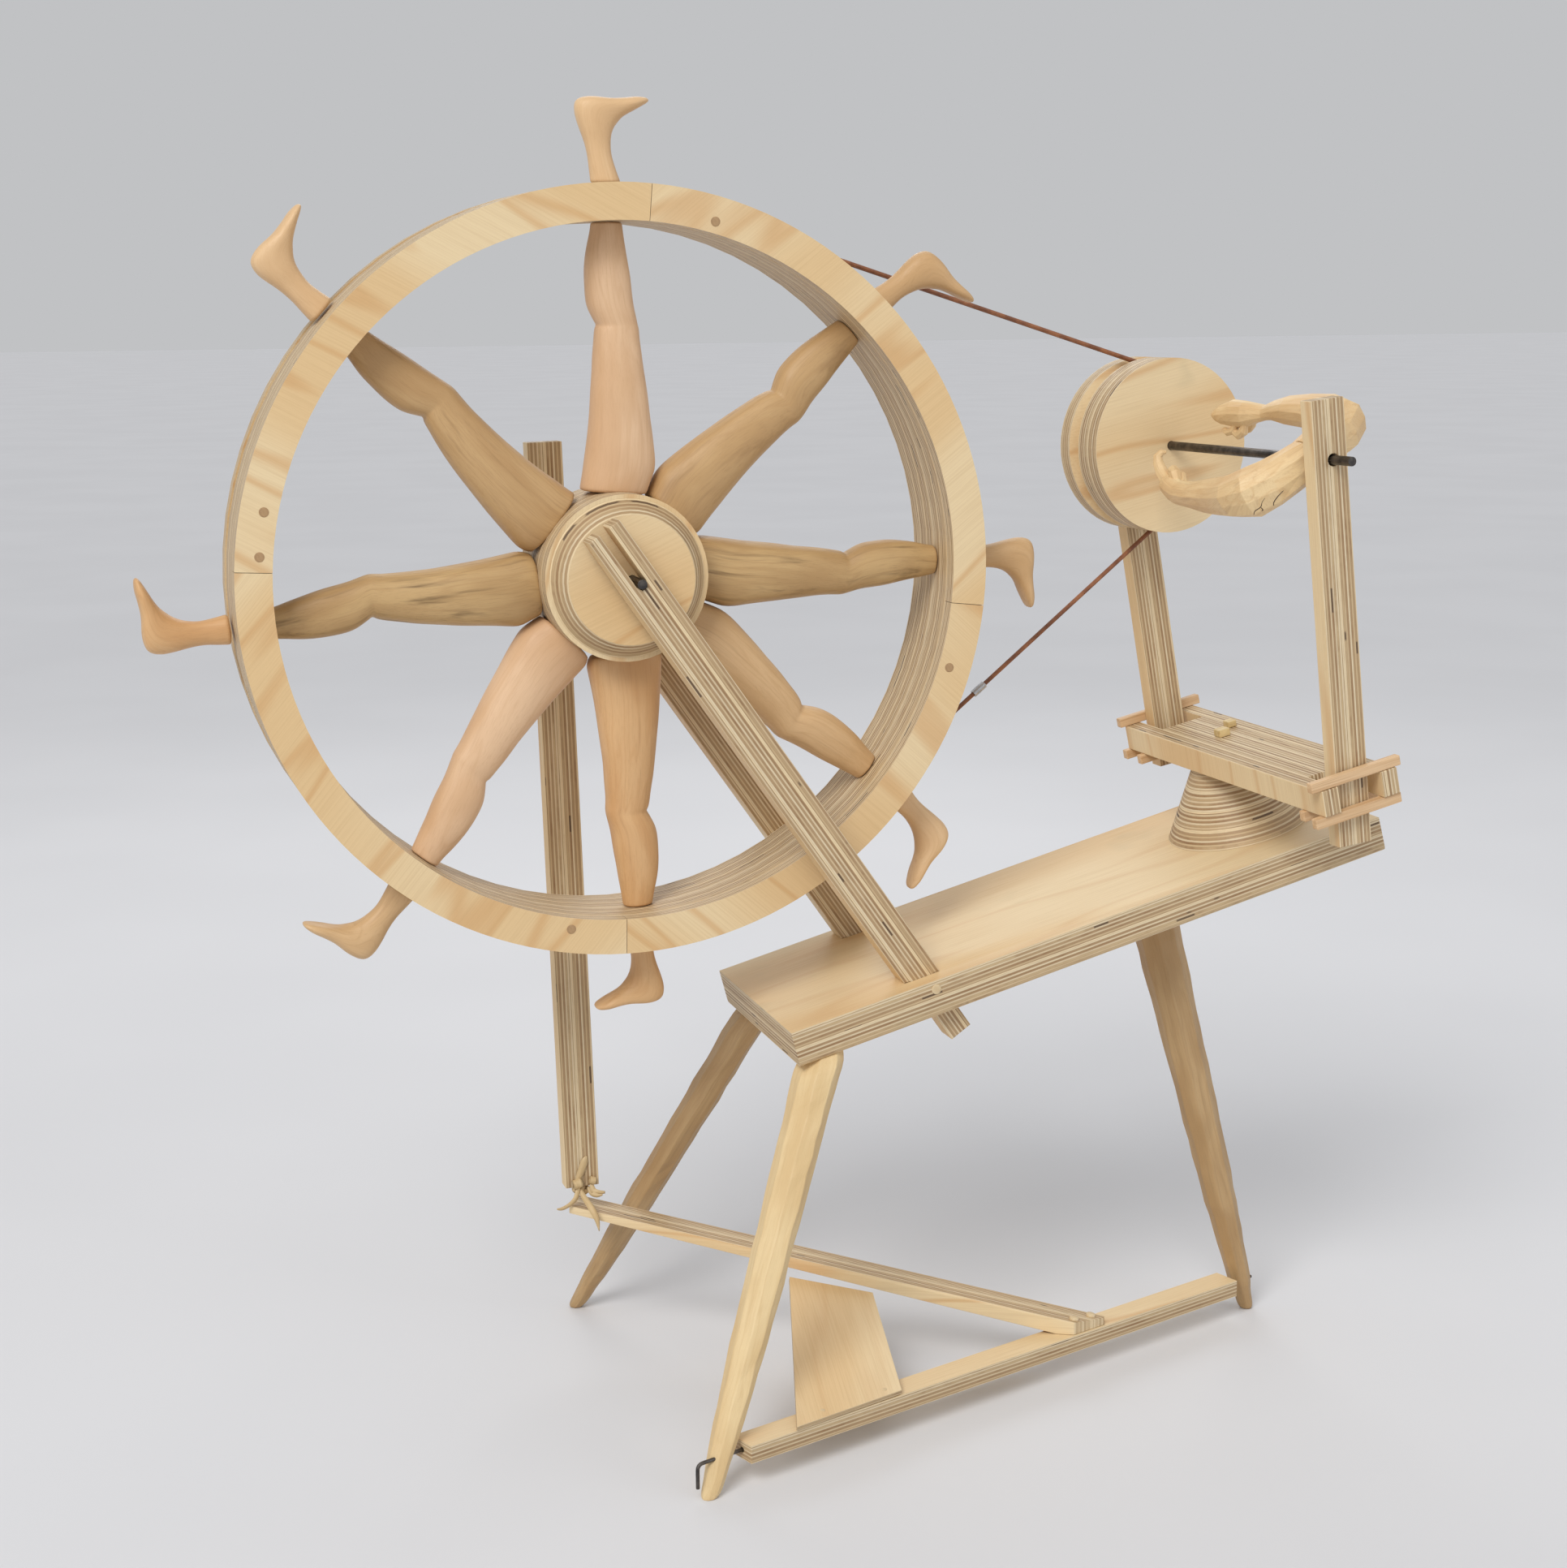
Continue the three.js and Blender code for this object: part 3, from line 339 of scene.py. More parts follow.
def carved(name, light, middle, dark, streaks, facets=0.0):
    """Carved solid wood. The mesh carries its grain: x along the limb, y and z across."""
    s = Shader(name)
    local = s.node("ShaderNodeAttribute", {"attribute_name": "wood"}).outputs["Vector"]
    rings = s.noise(scaled(s, local, 3.2, 46, 46), 1.0, 2.0, 0.5)
    bands = s.math("PINGPONG", s.math("MULTIPLY", rings, 9), 0.5)
    patches = s.noise(scaled(s, local, 9, 30, 30), 1.0, 2.0)
    fibres = s.noise(scaled(s, local, 40, 1500, 1500), 1.0, 2.0, 0.6)
    long_streaks = s.noise(scaled(s, local, 7, 190, 190), 1.0, 3.0, 0.6)
    colour = s.mix(s.ramp(patches, 0.35, 0.65), light, middle)
    colour = s.mix(s.ramp(bands, 0.25, 0.5, 0.0, 0.45), colour, middle)
    colour = s.mix(s.ramp(long_streaks, 0.52, 0.8, 0.0, streaks), colour, dark)
    colour = s.mix(s.ramp(fibres, 0.45, 0.8, 0.0, 0.2), colour, dark)
    height = s.math("ADD", s.math("MULTIPLY", fibres, 0.35), s.math("MULTIPLY", patches, 0.4))
    if facets:
        cells = s.node("ShaderNodeTexVoronoi", {"feature": "F1"}, Scale=1.0)
        s.put(cells.inputs["Vector"], scaled(s, local, 46, 75, 75))
        height = s.math("ADD", height, s.math("MULTIPLY", cells.outputs["Distance"], facets))
    rough = s.ramp(fibres, 0.3, 0.8, 0.45, 0.6)
    return s.finish(colour, rough, height, 0.45, 0.0012)


def steel(name, dark, light):
    s = Shader(name)
    point = s.node("ShaderNodeTexCoord").outputs["Object"]
    mottle = s.noise(scaled(s, point, 90, 90, 90), 1.0, 3.0, 0.6)
    scratch = s.noise(scaled(s, point, 900, 60, 900), 1.0, 2.0)
    colour = s.mix(s.ramp(mottle, 0.3, 0.75), dark, light)
    s.surface.inputs["Metallic"].default_value = 1.0
    return s.finish(colour, s.ramp(scratch, 0.2, 0.8, 0.28, 0.5), mottle, 0.12, 0.0002)


def leather(name):
    s = Shader(name)
    point = s.node("ShaderNodeTexCoord").outputs["Object"]
    worn = s.noise(scaled(s, point, 55, 55, 55), 1.0, 4.0, 0.65)
    grain = s.node("ShaderNodeTexVoronoi", {"feature": "F1"}, Vector=point, Scale=1400.0)
    colour = s.mix(s.ramp(worn, 0.35, 0.7), rgb(116, 70, 45), rgb(160, 104, 68))
    return s.finish(colour, s.ramp(worn, 0.3, 0.7, 0.5, 0.7), grain.outputs["Distance"], 0.5, 0.0003)


X, Y, Z = (1, 0, 0), (0, 1, 0), (0, 0, 1)
WELD_REACH = 0.00001  # metres, to join corners that the model file keeps apart
SHARP_EDGE = math.radians(40)  # the least bend of an edge that is eased


def paint(node, material, rounding=0.0):
    """Give a CAD node its material, with its sharp edges eased by `rounding` millimetres."""
    slots = NODES[node].data.materials
    slots.clear()
    slots.append(material)
    if rounding:
        weld = NODES[node].modifiers.new("weld", "WELD")
        weld.merge_threshold = WELD_REACH
        bevel = NODES[node].modifiers.new("eased", "BEVEL")
        bevel.width = rounding * MM
        bevel.segments = 2
        bevel.limit_method = "ANGLE"
        bevel.angle_limit = SHARP_EDGE


# Each rim arc is cut with its grain lying its own way.
for number, heading in enumerate((38, -42, 50, -28), start=1):
    lie = (math.cos(math.radians(heading)), 0, math.sin(math.radians(heading)))
    paint(f"rim_front_{number}", plywood(f"arc_{number}", WHEEL, Y, lie, number * 1.7))
# The sheets behind the arcs and the hub's discs are each turned by their own angle, in radians.
for number in range(2, 7):
    lie = (math.cos(number), 0, math.sin(number))
    paint(f"rim_sheet_{number}", plywood(f"layer_{number}", WHEEL, Y, lie, number * 2.3))
for number, name in enumerate(("hub_front", "hub_core", "hub_back")):
    lie = (math.cos(0.4 + number), 0, math.sin(0.4 + number))
    paint(name, plywood(name, WHEEL, Y, lie, 20.3 + number))
for number, name in enumerate(("post_front", "post_back")):
    paint(name, plywood(name, POST, X, Z, 3.1 + number), 0.7)
MAIDEN_FOOT = 42  # across the carrier
for number, (name, lean) in enumerate((("maiden_front", 5.56), ("maiden_back", 1.81))):
    maiden_place = CARRIER @ shift(MAIDEN_FOOT, 0, 0) @ turn(lean, "Y")
    paint(name, plywood(name, maiden_place, X, Z, 5.2 + number), 0.7)
paint("bench", plywood("bench", BENCH, Z, X, 1.35, stain=0.15, figure=0.25), 0.8)
paint("spindle_carrier", plywood("spindle_carrier", CARRIER, X, Z, 8.8, figure=0.4), 0.7)
paint("cone", plywood("cone", BENCH, Z, X, 2.9))
PULLEY_FRONT = 287.4
pulley_place = FLYER @ shift(0, PULLEY_FRONT, 0)
paint("pulley", plywood("pulley", pulley_place, Y, X, 6.15, stain=0.45))
axle_bar_top = TREADLE @ shift(0, 0, SHEET / 2)
paint("treadle_axle_bar", plywood("treadle_axle_bar", axle_bar_top, Z, X, 4.4), 0.6)
paint("treadle_bar", plywood("treadle_bar", LONG_BAR, Y, X, 9.6), 0.6)
BOARD_THICK = 5
BOARD_GRAIN = (0.46, 0.89, 0)
board_wood = plywood(
    "footboard", FOOTBOARD, Z, BOARD_GRAIN, 7.7, sheet=BOARD_THICK, plies=3, figure=0.2
)
paint("footboard", board_wood, 0.4)
paint("footman_bar", plywood("footman_bar", FOOTMAN, X, Z, 11.2), 0.7)
HARDWOOD = (rgb(222, 188, 146), rgb(208, 170, 126), rgb(162, 118, 76))
KEYWOOD = solid_wood("keywood", CARRIER, X, *HARDWOOD)
for end in ("front", "back"):
    for place in ("top", "low", "inner"):
        paint(f"key_{end}_{place}", KEYWOOD, 1.0)
WEDGEWOOD = (rgb(222, 198, 146), rgb(204, 176, 118), rgb(160, 126, 76))
for name in ("wedge_left", "wedge_right"):
    paint(name, solid_wood(name, CARRIER, X, *WEDGEWOOD), 1.2)
STEEL = steel("dark_steel", rgb(70, 68, 68), rgb(112, 106, 100))
for name in ("axle_crank", "spindle", "pivot_pin_left", "pivot_pin_right"):
    paint(name, STEEL, 0.5)
paint("band_clip", steel("bright_steel", rgb(176, 176, 178), rgb(214, 214, 216)), 0.3)
paint("drive_band", leather("band_leather"))


# ---------------------------------------------------------------- carved meshes
def catmull(rows, steps):
    """Rows of numbers with `steps` smooth rows for each gap between them."""
    out = []
    for i in range(len(rows) - 1):
        before, after = rows[max(i - 1, 0)], rows[min(i + 2, len(rows) - 1)]
        for k in range(steps):
            t = k / steps
            out.append(
                [
                    0.5
                    * (
                        2 * b
                        + (c - a) * t
                        + (2 * a - 5 * b + 4 * c - d) * t * t
                        + (3 * b - a - 3 * c + d) * t**3
                    )
                    for a, b, c, d in zip(before, rows[i], rows[i + 1], after)
                ]
            )
    out.append(list(rows[-1]))
    return out


def ring(centre, across, along, sides, square=0.2):
    """Corners around an ellipse, which `square` moves part of the way towards a rectangle."""
    points = []
    for side in range(sides):
        angle = (side + 0.5) * 2 * math.pi / sides
        c, s = math.cos(angle), math.sin(angle)
        stretch = 1 + square * (1 / max(abs(c), abs(s)) - 1)
        points.append(centre + across * (c * stretch) + along * (s * stretch))
    return points


def skin(rings, lengths):
    """Corners, faces and grain coordinates of a closed skin over rings of corners."""
    sides = len(rings[0])
    corners, grain, faces = [], [], []
    for row, length in zip(rings, lengths):
        middle = sum(row, Vector()) / sides
        for point in row:
            corners.append(point)
            offset = point - middle
            grain.append(Vector((length, offset.x + offset.z * 0.6, offset.y + offset.z * 0.4)))
    for row in range(len(rings) - 1):
        for side in range(sides):
            a, b = row * sides + side, row * sides + (side + 1) % sides
            faces.append((a, b, b + sides, a + sides))
    last = (len(rings) - 1) * sides
    for first, end in ((0, True), (last, False)):
        middle = sum(rings[0 if end else -1], Vector()) / sides
        corners.append(middle)
        grain.append(Vector((lengths[0 if end else -1], 0, 0)))
        for side in range(sides):
            pair = (first + (side + 1) % sides, first + side)
            faces.append((*(pair if end else pair[::-1]), len(corners) - 1))
    return corners, faces, grain


def limb_shell(rows, upright, sides=20, steps=3, square=0.2):
    """A limb through rows of x, y, z, half width and half thickness, which is measured
    towards `upright`. The grain follows it."""
    dense = catmull(rows, steps)
    centres = [Vector(row[:3]) for row in dense]
    rings, lengths, travelled = [], [], 0.0
    for i, (centre, row) in enumerate(zip(centres, dense)):
        before, after = centres[max(i - 1, 0)], centres[min(i + 1, len(centres) - 1)]
        across = (after - before).cross(upright).normalized()
        along = across.cross(after - before).normalized()
        travelled += (centre - before).length
        rings.append(ring(centre, across * row[3], along * row[4], sides, square))
        lengths.append(travelled)
    return skin(rings, lengths)


ROUGH_SCALE = 0.045  # waves of unevenness in a carved surface, per millimetre
noise.seed_set(1)  # without a seed, Blender draws the noise's offset from the clock


def add_piece(name, shells, place, material, body, smooth=True, subdivide=0, roughen=0.0):
    """One mesh object from closed shells in a group's millimetres."""
    corners, faces, grain = [], [], []
    for shell_corners, shell_faces, shell_grain in shells:
        start = len(corners)
        corners += shell_corners
        grain += shell_grain
        faces += [tuple(start + i for i in face) for face in shell_faces]
    if roughen:
        corners = [
            p + noise.noise_vector(p * ROUGH_SCALE + Vector((len(name), 3, 9))) * roughen
            for p in corners
        ]
    mesh = bpy.data.meshes.new(name)
    mesh.from_pydata([place @ (p * MM) for p in corners], [], faces)
    attribute = mesh.attributes.new("wood", "FLOAT_VECTOR", "POINT")
    seed = Vector((len(name) * 0.37, sum(map(ord, name)) * 0.013, 0))
    for item, value in zip(attribute.data, grain):
        item.vector = value * MM + seed
    outward = bmesh.new()
    outward.from_mesh(mesh)
    bmesh.ops.recalc_face_normals(outward, faces=outward.faces)
    outward.to_mesh(mesh)
    outward.free()
    mesh.polygons.foreach_set("use_smooth", [smooth] * len(mesh.polygons))
    mesh.materials.append(material)
    mesh.update()
    piece = bpy.data.objects.new(name, mesh)
    bpy.context.scene.collection.objects.link(piece)
    if subdivide:
        modifier = piece.modifiers.new("round", "SUBSURF")
        modifier.levels = subdivide
        modifier.render_levels = subdivide
    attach(piece, body)
    return piece


FACET_BEND = math.radians(6)  # the least bend between two knife facets


def soften_facets(piece, width):
    """Round the edges between a piece's flat knife facets a little, in millimetres."""
    softened = piece.modifiers.new("facet_edges", "BEVEL")
    softened.width = width * MM
    softened.segments = 2
    softened.limit_method = "ANGLE"
    softened.angle_limit = FACET_BEND


TAN = (rgb(214, 178, 132), rgb(200, 161, 113), rgb(160, 120, 76))
PINK = (rgb(226, 190, 152), rgb(213, 173, 132), rgb(180, 136, 96))
OLIVE = (rgb(196, 162, 112), rgb(176, 140, 92), rgb(104, 80, 46))
CREAM = (rgb(230, 196, 152), rgb(218, 180, 134), rgb(188, 146, 100))
ORANGE = (rgb(218, 176, 126), rgb(206, 158, 106), rgb(166, 116, 70))
BARK = (rgb(196, 160, 112), rgb(184, 146, 98), rgb(134, 100, 60))
BUTTER = (rgb(226, 200, 152), rgb(214, 184, 134), rgb(180, 144, 96))
UMBER = (rgb(188, 156, 112), rgb(172, 138, 94), rgb(132, 102, 64))
WOODS = {
    key: carved(f"carved_{key}", *colours, streaks)
    for key, colours, streaks in (
        ("tan", TAN, 0.3),
        ("pink", PINK, 0.2),
        ("olive", OLIVE, 0.8),
        ("cream", CREAM, 0.2),
        ("orange", ORANGE, 0.3),
        ("bark", BARK, 0.4),
        ("butter", BUTTER, 0.25),
        ("umber", UMBER, 0.3),
    )
}

# Each spoke: thigh, knee, ankle and foot headings, sole radius, wood of the leg and foot.
SPOKES = [
    (4.9, 1.3, 0, -2.5, 443, "pink", "cream"),
    (42.9, 47.5, 46.7, 47.8, 444, "bark", "tan"),
    (92.3, 91.7, 90, 88.9, 436, "olive", "tan"),
    (126.2, 130.5, 128.8, 130.2, 449, "tan", "cream"),
    (174.3, 177.5, 177, 175.6, 430, "orange", "orange"),
    (222.2, 218, 215.9, 216.2, 444, "pink", "tan"),
    (262.6, 266.4, 264.1, 263.9, 445, "olive", "orange"),
    (308.7, 314.5, 312.9, 312.7, 445, "bark", "cream"),
]
# A leg's sections: radius, calf side, shin side, half depth.
LEG = [
    (76, -38.5, 38.5, 25.5),
    (92, -36.5, 36.5, 26.5),
    (120, -33, 33, 26.5),
    (160, -28.5, 28.5, 25),
    (195, -24.5, 25, 22),
    (218, -21.5, 23.5, 19.8),
    (229, -19.5, 23.5, 18.8),
    (234, -17.5, 22.8, 18.2),
    (240, -20.5, 21.8, 18.6),
    (254, -26, 19.5, 19.4),
    (277, -26.5, 18, 18.6),
    (300, -23, 16, 16.5),
    (318, -17.5, 14.6, 14.6),
    (328.6, -15, 14, 13.6),
]
# A foot's sections: instep offset and rise from the sole, heel offset and rise, half depth.
FOOT = [
    (14.5, 79.5, -14.5, 79.5, 13),
    (12.8, 66, -12.4, 66, 12),
    (12, 54, -10.8, 54, 11.6),
    (14, 43, -11, 41, 12),
    (17, 35, -12.6, 27, 13.5),
    (21, 29, -12.8, 14, 14.5),
    (25, 25, -8, 3.5, 15),
    (30, 20.5, 6, 0.4, 15),
    (36, 16.8, 24, 2.2, 14.4),
    (44, 13, 38, 1.6, 15),
    (51, 9.8, 48, 0.4, 13.8),
    (57, 6.8, 57, 0.9, 10.4),
    (59.5, 5, 60, 2.8, 5.5),
]
THIGH, KNEE, RIM_INNER, RIM_OUTER = 90, 235, 329, 363  # radii from the wheel's centre
LEG_GAP = 0.6  # between a leg and the line halfway to the next one
FOOT_GAP = 0.4  # between a foot and the rim


def heading_at(thigh, knee, ankle, radius):
    """Heading of a leg's middle at a radius: straight from thigh to knee, then to the ankle."""
    if radius < KNEE:
        return thigh + (knee - thigh) * (radius - THIGH) / (KNEE - THIGH)
    return knee + (ankle - knee) * min((radius - KNEE) / (RIM_INNER - KNEE), 1)


def leg_shell(spoke, before, after):
    """A leg that keeps within half of the angles to the legs before and after it."""
    thigh, knee, ankle = spoke[:3]
    rings, lengths = [], []
    for radius, calf, shin, depth in catmull(LEG, 3):
        calf = max(calf, -radius * math.tan(math.radians(before / 2)) + LEG_GAP)
        shin = min(shin, radius * math.tan(math.radians(after / 2)) - LEG_GAP)
        swing = turn(heading_at(thigh, knee, ankle, radius), "Y")
        centre = Vector(((calf + shin) / 2, 0, radius))
        half = Vector(((shin - calf) / 2, 0, 0))
        rings.append([swing @ p for p in ring(centre, half, Vector((0, depth, 0)), 24)])
        lengths.append(radius)
    return skin(rings, lengths)


def foot_shell(spoke):
    """A foot that stands on the rim and leans from the ankle's heading to its own."""
    ankle, foot, sole = spoke[2:5]
    lean = math.radians(foot - ankle) * sole
    swing = turn(ankle, "Y")
    rings, lengths = [], []
    for instep, instep_rise, heel, heel_rise, depth in catmull(FOOT, 3):
        share = [(sole - rise - RIM_OUTER) / (sole - RIM_OUTER) for rise in (instep_rise, heel_rise)]
        heights = [max(sole - rise, RIM_OUTER + FOOT_GAP) for rise in (instep_rise, heel_rise)]
        high = Vector((instep + lean * share[0], 0, heights[0]))
        low = Vector((heel + lean * share[1], 0, heights[1]))
        section = ring((high + low) / 2, (high - low) / 2, Vector((0, depth, 0)), 20)
        rings.append([swing @ p for p in section])
        lengths.append(instep + heights[0])
    return skin(rings, lengths)


for i, spoke in enumerate(SPOKES):
    before = (spoke[0] - SPOKES[i - 1][0]) % 360
    after = (SPOKES[(i + 1) % len(SPOKES)][0] - spoke[0]) % 360
    number = i + 1
    leg = add_piece(
        f"carved_leg_{number}", [leg_shell(spoke, before, after)], WHEEL, WOODS[spoke[5]],
        "wheel", subdivide=1, roughen=0.8,
    )
    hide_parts(f"spoke_leg_{number}")
    foot = add_piece(
        f"carved_foot_{number}", [foot_shell(spoke)], WHEEL, WOODS[spoke[6]],
        "wheel", subdivide=1, roughen=0.5,
    )
    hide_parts(f"spoke_foot_{number}")


# ---------------------------------------------------------------- stand's legs
# The leg's name, its place along and across the bench, its foot on the floor, and its wood.
STAND_LEGS = [
    ("leg_front_left", 31, -100, 12, -250, "butter"),
    ("leg_back_left", 26, 90, -1, 237, "umber"),
    ("leg_right", 439, -3, 699, -6, "umber"),
]
# Share of the way from the floor to the bench, and half the width there.
STAND_TAPER = [
    (0, 6.5), (0.012, 8.6), (0.05, 10.8), (0.1, 12.6), (0.2, 15.4), (0.3, 17.5), (0.42, 19.2),
    (0.55, 20.6), (0.68, 21.9), (0.8, 23), (0.9, 24.4), (0.965, 25), (1, 20.5),
]
BENCH_THICK = 2 * SHEET
for name, along, across, foot_x, foot_y, wood in STAND_LEGS:
    seat = (BASE.inverted() @ BENCH @ (Vector((along, across, -BENCH_THICK)) * MM)) / MM
    ground = Vector((foot_x, foot_y, 0))
    bench_way = Vector((math.cos(math.radians(BENCH_TILT)), 0, math.sin(math.radians(BENCH_TILT))))
    rings, lengths = [], []
    for share, half in catmull(STAND_TAPER, 3):
        side = Vector((1, 0, 0)).lerp(bench_way, share).normalized()
        centre = ground.lerp(seat, share)
        rings.append(ring(centre, side * half, Vector((0, half, 0)), 8, square=0.12))
        lengths.append((seat - ground).length * share)
    leg = add_piece(
        f"carved_{name}", [skin(rings, lengths)], BASE, WOODS[wood], "frame",
        smooth=False, roughen=1.5,
    )
    soften_facets(leg, 1.4)
    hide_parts(name)


# ---------------------------------------------------------------- flyer arms
# Flyer axes: y runs along the spindle. The arms lie near a plane turned up towards +X.
ARM_PLANE = math.radians(25)
ARM_NORMAL = Vector((-math.sin(ARM_PLANE), 0, math.cos(ARM_PLANE)))
# Upper arm from the shared base to the finger tips: x, y, z, half width, half thickness.
UPPER_ARM = [
    (0, 53, 0, 20, 20),
    (20, 54, 7, 20.5, 21.5),
    (41, 57, 15, 21.5, 23.5),
    (56, 67, 20, 22, 24),
    (60, 88, 24, 20, 20.5),
    (55, 116, 28, 16.5, 15.5),
    (51, 145, 30, 13.5, 12.5),
    (50, 168, 29, 9.5, 8.6),
    (49, 182, 27, 8, 7.4),
    (46, 193, 26, 9.5, 10),
    (43, 206, 25, 12, 14.5),
    (41, 224, 25, 11.5, 14),
    (38, 240, 25.5, 9.5, 9.5),
    (36, 251, 26, 6, 6),
    (35, 257, 26, 2.5, 2.5),
]
# Two fingers of the upper hand curl under its palm, and its thumb lies beside them.
UPPER_FINGERS = [
    [(40, 204, 18, 4, 4), (38, 208, 9, 5, 5), (37, 216, 5, 5, 4.6), (37, 224, 8, 3.6, 3.6)],
    [(39, 220, 17, 4, 4), (37, 225, 9, 4.8, 4.8), (36, 233, 7, 4.6, 4.4), (36, 240, 10, 3.4, 3)],
    [(44, 196, 24, 4, 4), (46, 203, 14, 4.6, 4.6), (46, 210, 9, 4.2, 4.2), (45, 217, 8, 2.6, 2.6)],
]
LOWER_ARM = [
    (0, 53, 0, 20, 20),
    (-20, 54, -8, 20.5, 21.5),
    (-40, 57, -15, 22, 24),
    (-55, 67, -20, 22.5, 24.5),
    (-59, 90, -24, 21, 21.5),
    (-56, 118, -28, 17.5, 17.8),
    (-52, 148, -31, 16, 16.6),
    (-50, 180, -32.5, 13.2, 13.6),
    (-49, 207, -31.5, 11.6, 11.6),
    (-47, 222, -29, 11.8, 12.2),
    (-44, 234, -26, 9.5, 10.5),
    (-42, 241, -24, 5, 6),
]
# A long finger that stands up from the palm, a square knuckle and two short folded fingers.
LOWER_FINGERS = [
    [
        (-43, 230, -25, 6, 7), (-42, 241, -21, 6.6, 7), (-40, 250, -15, 6, 6.2),
        (-38, 256, -8, 5.4, 5.4), (-35, 259, -1, 4.8, 4.6), (-30, 258, 3, 3.6, 3.4),
        (-26, 256, 2, 1.8, 1.8),
    ],
    [
        (-45, 214, -24, 5.4, 5.4), (-42, 221, -16, 6.6, 6.4), (-38, 231, -13, 6.2, 6),
        (-35, 240, -15, 3, 3),
    ],
    [
        (-40, 212, -25, 4.4, 4.4), (-35, 221, -20, 5.2, 5), (-33, 231, -18, 4.6, 4.6),
        (-33, 238, -20, 2.6, 2.6),
    ],
]
arm_wood = carved(
    "arm_wood", rgb(234, 206, 158), rgb(218, 180, 128), rgb(158, 110, 68), 0.35, 0.2
)
SIDEWAYS = Vector((1, 0, 0))
arms = [limb_shell(rows, ARM_NORMAL, sides=11, steps=1) for rows in (UPPER_ARM, LOWER_ARM)]
fingers = [
    limb_shell(rows, SIDEWAYS, sides=7, steps=1) for rows in UPPER_FINGERS + LOWER_FINGERS
]
carved_arms = add_piece(
    "carved_arms", arms + fingers, FLYER, arm_wood, "flyer", smooth=False, roughen=2.2
)
soften_facets(carved_arms, 0.9)

# Drying cracks at the lower elbow, each a thin strip that follows the wood's surface, coloured dark
# as painted shade of the split.
CRACKS = [
    [(-41, 36, -21), (-45, 38, -23), (-49, 41, -29), (-50, 43, -33), (-48, 44, -38)],
    [(-57, 45, -24), (-59, 48, -28), (-60, 50, -33), (-64, 55, -36), (-64, 58, -41)],
    [(-60, 50, -33), (-58, 50, -37), (-58, 51, -40)],
]
arm_mesh = carved_arms.data
surface = BVHTree.FromPolygons(
    [FLYER.inverted() @ v.co / MM for v in arm_mesh.vertices],
    [tuple(face.vertices) for face in arm_mesh.polygons],
)
splits = []
for path in CRACKS:
    places = catmull(path, 4)
    rows = []
    for i, place in enumerate(places):
        on_wood = surface.find_nearest(Vector(place))[0]
        half_width = 0.15 + 0.35 * math.sin(math.pi * (i + 0.5) / len(places))
        rows.append((*on_wood, half_width, half_width))
    splits.append(limb_shell(rows, SIDEWAYS, sides=6, steps=1, square=0))
# The cracks' near-black colours are painted shade inside the splits, not the wood's own colour.
CRACK_SHADE = carved("crack_painted_shade", rgb(66, 44, 30), rgb(52, 34, 24), rgb(36, 24, 18), 0.5)
add_piece("arm_cracks", splits, FLYER, CRACK_SHADE, "flyer")
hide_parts("flyer_arms")


# ---------------------------------------------------------------- tie of wood shavings
# Footman axes before its lean, from the middle of the tie. Each curl is a thin ribbon given as
# rows of x, y, z, half width and half thickness.
FACE_Y = -9.6  # just in front of the footman
TIE_CURLS = [
    [
        (4.5, FACE_Y, 43, 0.8, 0.4), (2.5, FACE_Y - 0.6, 38, 4, 0.4),
        (-0.5, FACE_Y - 0.8, 30, 4.2, 0.4), (-4, FACE_Y - 0.9, 21, 4, 0.4),
        (-5, FACE_Y - 1.6, 17, 3.4, 0.4),
    ],
    [
        (-5, -12, 12, 2, 0.4), (-7, -14, 5, 2.8, 0.4), (-10, -16, -1, 2.8, 0.4),
        (-17, -18, -6, 2.3, 0.4), (-25, -20, -8.5, 2, 0.4), (-31, -21, -8, 0.8, 0.3),
    ],
    [
        (-4, -11, 8, 2, 0.4), (-1, -17, 1, 3, 0.4), (4, -31, -8, 3.6, 0.4),
        (8, -37, -18, 3, 0.4), (10, -38, -31, 0.5, 0.3),
    ],
    [(9, -11, 13, 2, 0.4), (10, -14, 6, 3.4, 0.4), (14, -17, 4, 3, 0.4), (22, -18, 3.5, 1.4, 0.4)],
    [(6, -10, 9, 2, 0.4), (8, -14, 3, 2.6, 0.4), (13, -18, 1, 2.4, 0.4), (19, -19, 1.5, 1, 0.4)],
]
COIL_STEPS = 9  # rows in one turn of a coil
HALF_THIN = 0.4  # half the thickness of a shaving


def coil(centre, radius, half_width, turns, pitch, axis):
    """Rows of a ribbon rolled about an axis, tightening towards its end. Its width lies along
    the axis, so it comes last in a row."""
    side = axis.orthogonal().normalized()
    rise = axis.cross(side)
    rows = []
    steps = int(turns * COIL_STEPS)
    for i in range(steps + 1):
        angle = 2 * math.pi * i / COIL_STEPS
        reach = radius * (1 - 0.35 * i / steps)
        outward = side * math.cos(angle) + rise * math.sin(angle)
        place = centre + outward * reach + axis * pitch * i
        rows.append((*place, HALF_THIN, half_width))
    return rows


FORWARD = Vector((0, -1, 0))
shavings = [limb_shell(rows, FORWARD, sides=6, square=0.6) for rows in TIE_CURLS]
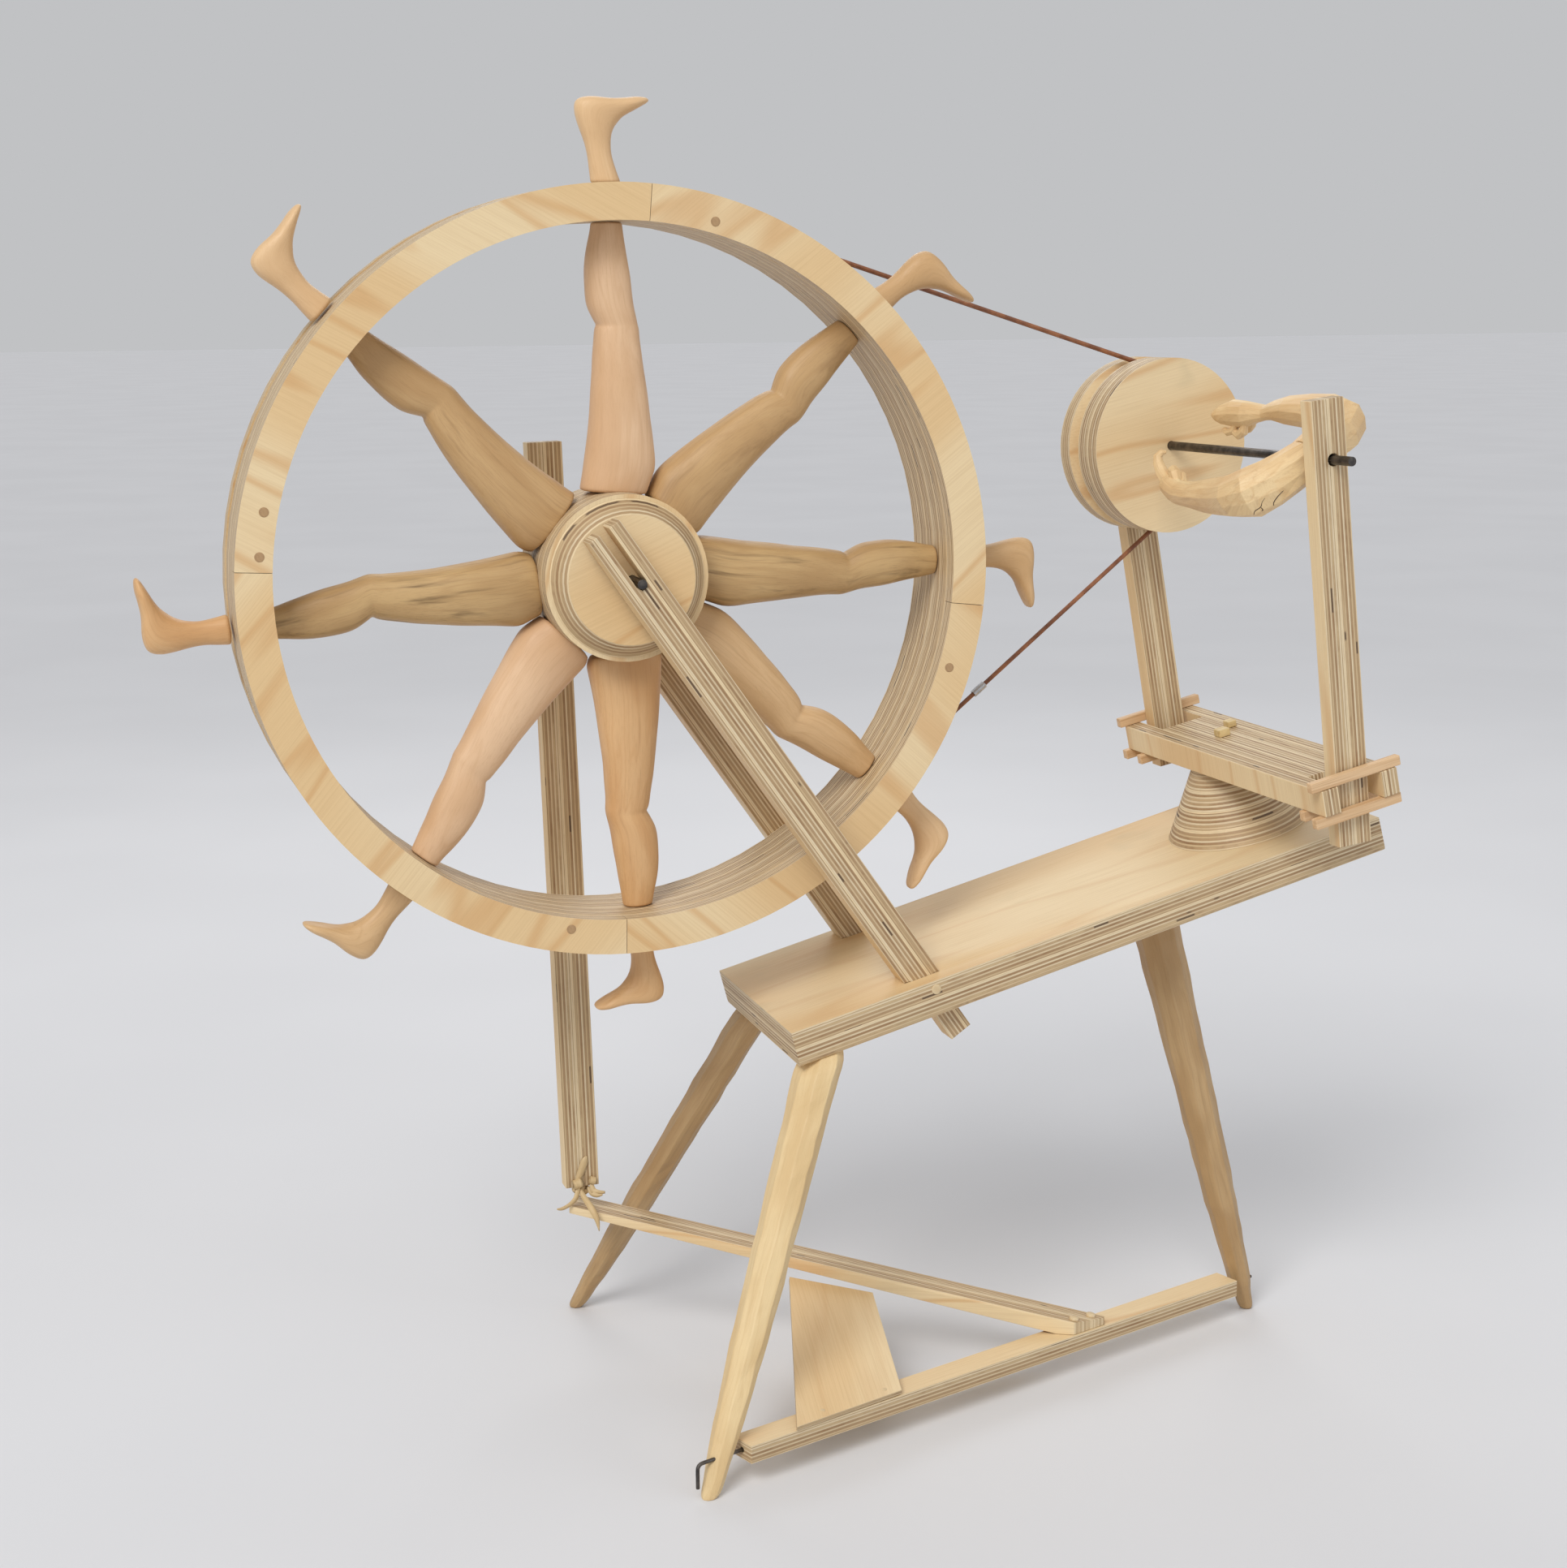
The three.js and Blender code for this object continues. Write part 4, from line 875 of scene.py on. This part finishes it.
# The coils: centre, radius, half width, turns, advance per row and axis.
for centre, radius, half_width, turns, pitch, axis in (
    ((-6, -12, 14), 5.0, 5.2, 1.6, 0.05, Vector((1, 0, 0.25)).normalized()),
    ((10, -12, 16), 4.0, 3.6, 1.4, 0.05, Vector((1, 0, -0.3)).normalized()),
    ((-3, -3, 7), 7.4, 3.2, 1.9, 0.2, Vector((0.12, 0, -1)).normalized()),
    ((3, -2, 5), 6.4, 2.8, 1.9, 0.18, Vector((-0.2, 0.1, -1)).normalized()),
):
    rows = coil(Vector(centre), radius, half_width, turns, pitch, axis)
    shavings.append(limb_shell(rows, axis, sides=6, steps=2, square=0.6))
shaving_wood = carved(
    "shaving_wood", rgb(226, 204, 160), rgb(200, 170, 122), rgb(128, 96, 56), 0.5
)
tie = add_piece("shavings_tie", shavings, FOOTMAN_UPRIGHT, shaving_wood, "footman")
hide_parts("footman_tie")


# ---------------------------------------------------------------- dowels and nails
SUNK = 1.5  # how deep a dowel's mesh reaches into the face
# A dowel's domed end, as shares of its radius and of how far it stands out of the face.
DOME = [(1, 0.6), (0.9, 1), (0.55, 1.15), (0.1, 1.2)]


def dowel_shell(centre, outward, radius, proud):
    """A dowel's end standing slightly proud of a face, with its grain as rings."""
    side = outward.orthogonal().normalized()
    rise = outward.cross(side)
    rings, lengths = [], []
    for reach, height in [(1, -SUNK)] + [(reach, proud * share) for reach, share in DOME]:
        middle = centre + outward * height
        rings.append(ring(middle, side * radius * reach, rise * radius * reach, 20, square=0))
        lengths.append(radius * reach * 4)
    return skin(rings, lengths)


# Clockwise angle from the top and radius of each dowel on the wheel's front face.
RIM_DOWELS = [(282.3, 341.7), (275.5, 341.2), (15.4, 339.7), (107.3, 340.2), (190.5, 339.8)]
HALF_RIM = 3 * SHEET
END_GRAIN = carved("end_grain", rgb(176, 142, 102), rgb(150, 116, 80), rgb(112, 80, 52), 0.6)
on_rim = []
for heading, radius in RIM_DOWELS:
    swing = turn(heading, "Y")
    on_rim.append(dowel_shell(swing @ Vector((0, -HALF_RIM, radius)), FORWARD, 4.5, 0.35))
add_piece("rim_dowels", on_rim, WHEEL, END_GRAIN, "wheel")

# Pale dowels through the long bar into the axle bar, on its sloping top, and in the bench's edge.
PALE_DOWEL = carved("pale_dowel", rgb(226, 206, 168), rgb(206, 180, 138), rgb(150, 118, 80), 0.4)
BAR_LENGTH, BAR_LOW_TOP, BAR_HIGH_TOP = 562, 17, 121
LONG_BAR_SLOPE = (BAR_HIGH_TOP - BAR_LOW_TOP) / BAR_LENGTH
bar_up = Vector((-LONG_BAR_SLOPE, 0, 1)).normalized()
on_bar = [
    dowel_shell(Vector((x, y, BAR_LOW_TOP + x * LONG_BAR_SLOPE)), bar_up, 5, 2.6)
    for x, y in ((30.3, 9), (14, -10))
]
add_piece("bar_dowels", on_bar, LONG_BAR, PALE_DOWEL, "treadle")
edge_dowel = dowel_shell(Vector((152, -122.5, -SHEET / 2)), FORWARD, 5, 0.8)
add_piece("bench_dowel", [edge_dowel], BENCH, PALE_DOWEL, "frame")
UPWARD = Vector((0, 0, 1))
nails = [dowel_shell(Vector((x, 10.4, BOARD_THICK)), UPWARD, 2.4, 0.3) for x in (114.6, 191.1)]
add_piece("footboard_nails", nails, FOOTBOARD, PALE_DOWEL, "treadle")


# ---------------------------------------------------------------- floor
HALF_FLOOR = 60  # metres
floor_mesh = bpy.data.meshes.new("floor")
floor_mesh.from_pydata(
    [(x, y, 0) for x, y in ((-1, -1), (1, -1), (1, 1), (-1, 1))], [], [(0, 1, 2, 3)]
)
floor_mesh.transform(Matrix.Scale(HALF_FLOOR, 4))
floor = bpy.data.objects.new("floor", floor_mesh)
bpy.context.scene.collection.objects.link(floor)
paper = Shader("paper_floor")
where = paper.node("ShaderNodeTexCoord").outputs["Object"]
cloud = paper.noise(where, 1.3, 2.0)
floor_colour = paper.mix(paper.ramp(cloud, 0.3, 0.7), rgb(216, 216, 218), rgb(219, 219, 221))
floor_mesh.materials.append(paper.finish(floor_colour, 0.9))
